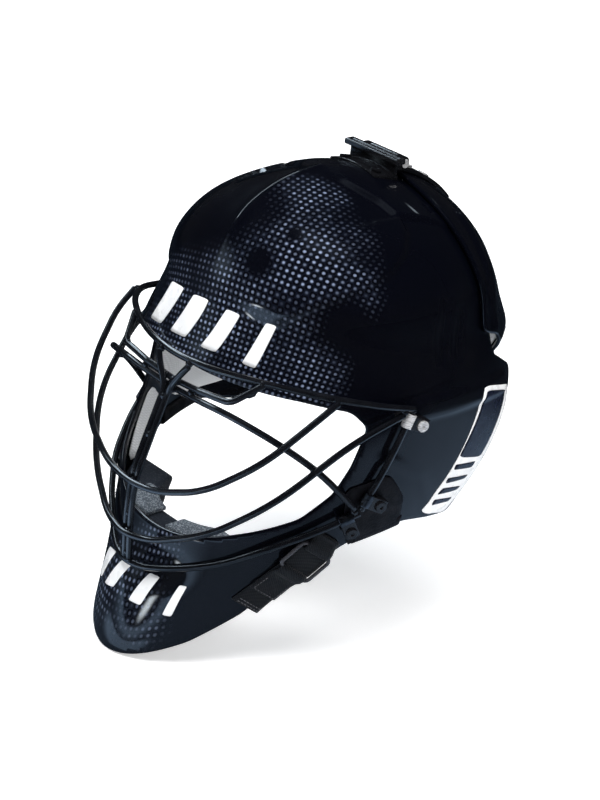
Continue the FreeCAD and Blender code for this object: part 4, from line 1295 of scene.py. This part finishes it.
def buckle_ring():
    bars = [strap_point(d, 0, BAR_HEIGHT) for d in (-BUCKLE_LENGTH / 2, BUCKLE_LENGTH / 2)]
    ahead = unit(bars[1] - bars[0])
    row, angle = located(*BUCKLE_AT)
    across = unit(np.cross(ahead, normals(row, angle)))
    rear, front = bars
    half = across * BUCKLE_WIDTH / 2
    corners = [rear, rear + half, front + half, front - half, rear - half, rear]
    line = bent(corners, 3.0, 1.2)[:-1]
    return rod("buckle_ring_left", line, BUCKLE_WIRE_R, 12, cyclic=True)


make_straps()
pair(buckle_ring(), "buckle_ring", BUCKLE_PAINT, "buckle_wire", "buckle_", "jaw_buckle")


# ---------------------------------------------------------------- cheek flap
def make_flap():
    """Leather face, and the turned edge under the jaw and inside it."""
    face = layer("flap_face_left", np.arange(5.0, 10.6, 0.045), np.arange(30.0, 140.0, 1.0), False,
                 in_region(FLAP_OUTLINE, SHELL_OUTLINE), lambda r, d: -1.5 - 0.25 * smooth(d / 3),
                 constant(-0.35), raised=lambda p: 0.9 * smooth((p[:, 0] - 200) / 5), rim=0.6)
    pair(face, "flap_face", LEATHER, "black_leather", "mask", "cheek_flap")
    profile = [(-1.6, 7.0), (-1.75, 3.0), (-1.6, 0.2), (-0.9, -1.2), (0.6, -1.9), (2.4, -1.9),
               (3.9, -1.2), (4.5, 0.2), (4.55, 4.0), (4.4, 8.0), (3.4, 8.2), (3.35, 0.8),
               (3.0, -0.5), (0.2, -0.5), (-0.3, 0.8), (-0.45, 6.8)]
    stations = np.linspace(-50, -17.5, 30)
    stations = np.linspace(-50, -17.5, 30)
    verts = []
    for y in stations:
        edge_z = float(np.interp(y, (-52, -34, -16), (-100, -96.2, -93)))
        for depth, rise in profile:
            row, angle = located(y, edge_z + rise)
            verts.append(form(row, angle) - normals(row, angle) * depth)
    turn = solid("flap_turn_left", verts, ring_faces(len(stations), len(profile)))
    pair(turn, "flap_turn", LEATHER, "black_leather")


make_flap()


# ---------------------------------------------------------------- liner
SKIN_GAP = 0.4
PAD_T = 10.0
PAD_EDGE = 9.0            # how far in from its edge a pad reaches its full thickness
EDGE_SHARE = 0.22         # share of the thickness that it has at the edge
CHANNEL_DEPTH, CHANNEL_WIDTH = 1.5, 0.9
BACKED_LEAN = 0.5         # least outward lean of a pad's face that is dark foam


def plump(thickness, edge, channel=None):
    """Pad depth: crowned from its edge, with a sewn channel a little way in."""
    def depth(d):
        t = np.clip(d / edge, 0, 1)
        swell = thickness * (EDGE_SHARE + (1 - EDGE_SHARE) * np.sqrt(1 - (1 - t) ** 2))
        if channel:
            swell = swell - CHANNEL_DEPTH * np.exp(-((d - channel) / CHANNEL_WIDTH) ** 2)
        return swell
    return depth


def make_pad(name, outline, angles, closed, thickness=PAD_T, start=None, low_x=None,
             channel=5.0, pole=False):
    start = start or (lambda r: SHELL_T + SKIN_GAP)
    depth = plump(thickness, PAD_EDGE, channel)
    return layer(name, PAD_ROWS, angles, closed, in_region(outline, low_x=low_x),
                 lambda r, d: start(r), lambda r, d: start(r) + depth(d), rim=1.0, pole=pole)


PAD_ROWS = np.arange(0.1, 9.6, 0.075)
full = np.arange(-180.0, 180.0, 2.0)
for name, outline, stem in (("forehead_cushion", FOREHEAD_PAD, "forehead_pad"),
                            ("crown_cushion", CROWN_PAD, "crown_pad")):
    finished(make_pad(name, outline, full, True, pole=stem == "crown_pad"), PALE_CLOTH,
             "pale_foam", stands_for=[stem])
band_start = SHELL_T + SKIN_GAP + PAD_T + 0.3
finished(make_pad("brow_band", SWEATBAND, full, True, 2.5,
                  lambda r: np.full(np.shape(r), band_start), channel=None),
         BAND_CLOTH, "sweatband_cloth", stands_for=["sweatband"])
for stem, outline in (("side_pad", SIDE_PAD), ("jaw_pad", JAW_PAD)):
    name = stem.replace("pad", "cushion")
    pair(make_pad(name + "_left", outline, LEFT_SIDE, False, low_x=20), name, PALE_CLOTH,
         "pale_foam", "mask", stem)
finished(make_pad("rear_cushion", REAR_PAD, np.arange(0.0, 360.0, 2.0), True,
                  start=lambda r: backplate_depth(r) + SHELL_T + SKIN_GAP),
         PALE_CLOTH, "pale_foam", "backplate", ["rear_pad"])
for node, name, voxel, material, slot in (
        ("chin_foam", "chin_block", 2.2, DARK_FOAM, "dark_foam"),
        ("chin_foam_inserts", "chin_inserts", 0.7, SPECKLED_FOAM, "speckled_foam")):
    finished(softened(node, name, voxel, 5), material, slot, "mask", [node])


def dark_backed(obj):
    """Give a pad dark foam on the faces that lie against the laminate."""
    obj.data.materials.append(DARK_FOAM)
    faces = obj.data.polygons
    outward = unit(np.array([tuple(face.center) for face in faces]) - HEAD_MIDDLE * MM)
    lean = np.sum(outward * np.array([tuple(face.normal) for face in faces]), axis=1)
    faces.foreach_set("material_index", (lean > BACKED_LEAN).astype(np.int32))


for name in ("forehead_cushion", "crown_cushion", "rear_cushion", "side_cushion_left",
             "side_cushion_right", "jaw_cushion_left", "jaw_cushion_right"):
    dark_backed(bpy.data.objects[name])


# ---------------------------------------------------------------- camera, lights, floor
AZIMUTH, ELEVATION, ROLL = math.radians(46), math.radians(23), math.radians(6)
DISTANCE = 1.35
FOCAL_PX = 2119.5         # focal length, in pixels of the photograph's long side
LONG_SIDE_PX = 800
SENSOR = 36
AIM_X, AIM_Y = -24, 79    # picture centre, from where the head's centre shows


def make_camera():
    away = Vector((math.sin(AZIMUTH) * math.cos(ELEVATION),
                   -math.cos(AZIMUTH) * math.cos(ELEVATION), math.sin(ELEVATION)))
    level = Vector((math.cos(AZIMUTH), math.sin(AZIMUTH), 0))
    upright = level.cross(-away)
    right = level * math.cos(ROLL) + upright * math.sin(ROLL)
    up = upright * math.cos(ROLL) - level * math.sin(ROLL)
    forward = (-away * FOCAL_PX + right * AIM_X - up * AIM_Y).normalized()
    right = (right - forward * right.dot(forward)).normalized()
    up = right.cross(forward)
    data = bpy.data.cameras.new("camera")
    data.lens = FOCAL_PX * SENSOR / LONG_SIDE_PX
    data.sensor_width = SENSOR
    data.clip_start, data.clip_end = 0.05, 30
    camera = linked("camera", data)
    turned = Matrix((right, up, -forward)).transposed().to_4x4()
    camera.matrix_world = Matrix.Translation(away * DISTANCE) @ turned
    bpy.context.scene.camera = camera


def make_light(name, place, target, size, power, colour=(1, 1, 1), mirrored=True, soft=False):
    """Rectangular light; a soft one fades from its middle to its edges."""
    data = bpy.data.lights.new(name, "AREA")
    data.shape = "RECTANGLE"
    data.size, data.size_y = size
    data.energy = power
    data.color = colour
    if soft:
        f = Nodes(data)
        where = f.node("NewGeometry").outputs["Parametric"]
        away = f.vector("DISTANCE", where, (0.5, 0.5, 0))
        f.ends_in(f.ranged(away, 0.0, 0.5, 1.0, 0.0, "SMOOTHERSTEP"), "Emission", "Strength")
    light = linked(name, data)
    light.location = place
    light.visible_glossy = mirrored
    light.rotation_euler = (Vector(target) - Vector(place)).to_track_quat("-Z", "Y").to_euler()


# Painted pools of light on the floor, seen only in the lacquer's reflections: where each pool lies
# on the floor, how far it reaches (mm) and how bright it is.
PAINTED_FLOOR_POOLS = [(240, 130, 360, 0.34), (150, -260, 330, 0.2), (-250, -1500, 1300, 1.3),
               (-40, -300, 130, 2.0)]
FLOOR_REACH = 9.0
FLOOR_GAP = 0.0005


def make_floor():
    level = cad_box[0].z - FLOOR_GAP
    mesh = bpy.data.meshes.new("floor")
    mesh.from_pydata([(x * FLOOR_REACH, y * FLOOR_REACH, level)
                      for x, y in ((-1, -1), (1, -1), (1, 1), (-1, 1))], [], [(0, 1, 2, 3)])
    floor = linked("floor", mesh)
    f = Finish("floor", (0.93, 0.93, 0.94), 0.7, Emission_Color=(1, 1, 1, 1))
    f.use("Emission Strength", f.ranged(f.vector("LENGTH", f.place()), 0.7, 3.0, 0.5, 1.0))
    f.use("Base Color", f.mixed(f.noise(3.0), (0.92, 0.92, 0.93), (0.94, 0.94, 0.945)))
    # Mirrored in the lacquer, the floor is painted dark with only a few painted pale blue pools of
    # light: a painted reflection that glossy rays alone see.
    painted_pool = None
    for x, y, radius, share in PAINTED_FLOOR_POOLS:
        shade = f.math("MULTIPLY", f.spot((x, y, level / MM), radius), share)
        painted_pool = f.math("MAXIMUM", painted_pool, shade) if painted_pool else shade
    painted_reflection = f.node("BsdfDiffuse", {"Color": f.mixed(painted_pool, (0.006, 0.009, 0.014),
                                                  (0.5, 0.7, 0.98))})
    pick = f.node("MixShader", {0: f.node("LightPath").outputs["Is Glossy Ray"],
                                1: f.shader.outputs[0], 2: painted_reflection.outputs[0]})
    f.ends_in(pick.outputs[0], "Material Output", "Surface")
    mesh.materials.append(f.material)


def make_world():
    """White where the camera sees it, and nearly dark as a light."""
    world = bpy.data.worlds.new("studio")
    bpy.context.scene.world = world
    f = Nodes(world)
    sky = f.tree.nodes["Background"]
    sky.inputs["Color"].default_value = (0.86, 0.9, 1.0, 1.0)
    sky.inputs["Strength"].default_value = 0.012
    seen = f.node("Background", Color=(1, 1, 1, 1), Strength=1.0)
    mix = f.node("MixShader", {0: f.node("LightPath").outputs["Is Camera Ray"],
                               1: sky.outputs[0], 2: seen.outputs[0]})
    f.ends_in(mix.outputs[0], "World Output", "Surface")


make_camera()
make_floor()
make_world()
make_light("key", (0.2, -1.1, 1.9), (0, -0.03, 0), (0.9, 0.9), 30, mirrored=False)
make_light("fill", (1.9, 0.4, 1.2), (0, 0, 0), (1.4, 1.4), 16, mirrored=False)
make_light("top", (0, 0, 2.4), (0, 0, 0), (2.6, 2.6), 66, mirrored=False)
make_light("ridge_strip", (-1.15, 0.0, 1.1), (0, 0.0, 0.1), (1.7, 0.13), 5.5,
           (0.72, 0.87, 1))
make_light("brow_glow", (-0.98, -1.3, 0.36), (0, -0.09, 0.04), (0.7, 1.1), 1.7,
           (0.62, 0.8, 1), soft=True)
make_light("crown_glow", (0.3, -0.1, 1.9), (0, 0, 0.08), (1.3, 1.3), 1.4,
           (0.7, 0.82, 1), soft=True)
make_light("back_box", (-0.45, 1.52, 0.98), (0, 0, 0.08), (0.2, 0.1), 0.12, (0.75, 0.88, 1),
           soft=True)
make_light("chin_glow", (-0.2, -1.75, -0.13), (0, -0.15, -0.17), (0.4, 0.1), 1.6,
           (0.85, 0.94, 1), soft=True)

bpy.context.scene.view_settings.view_transform = "Standard"
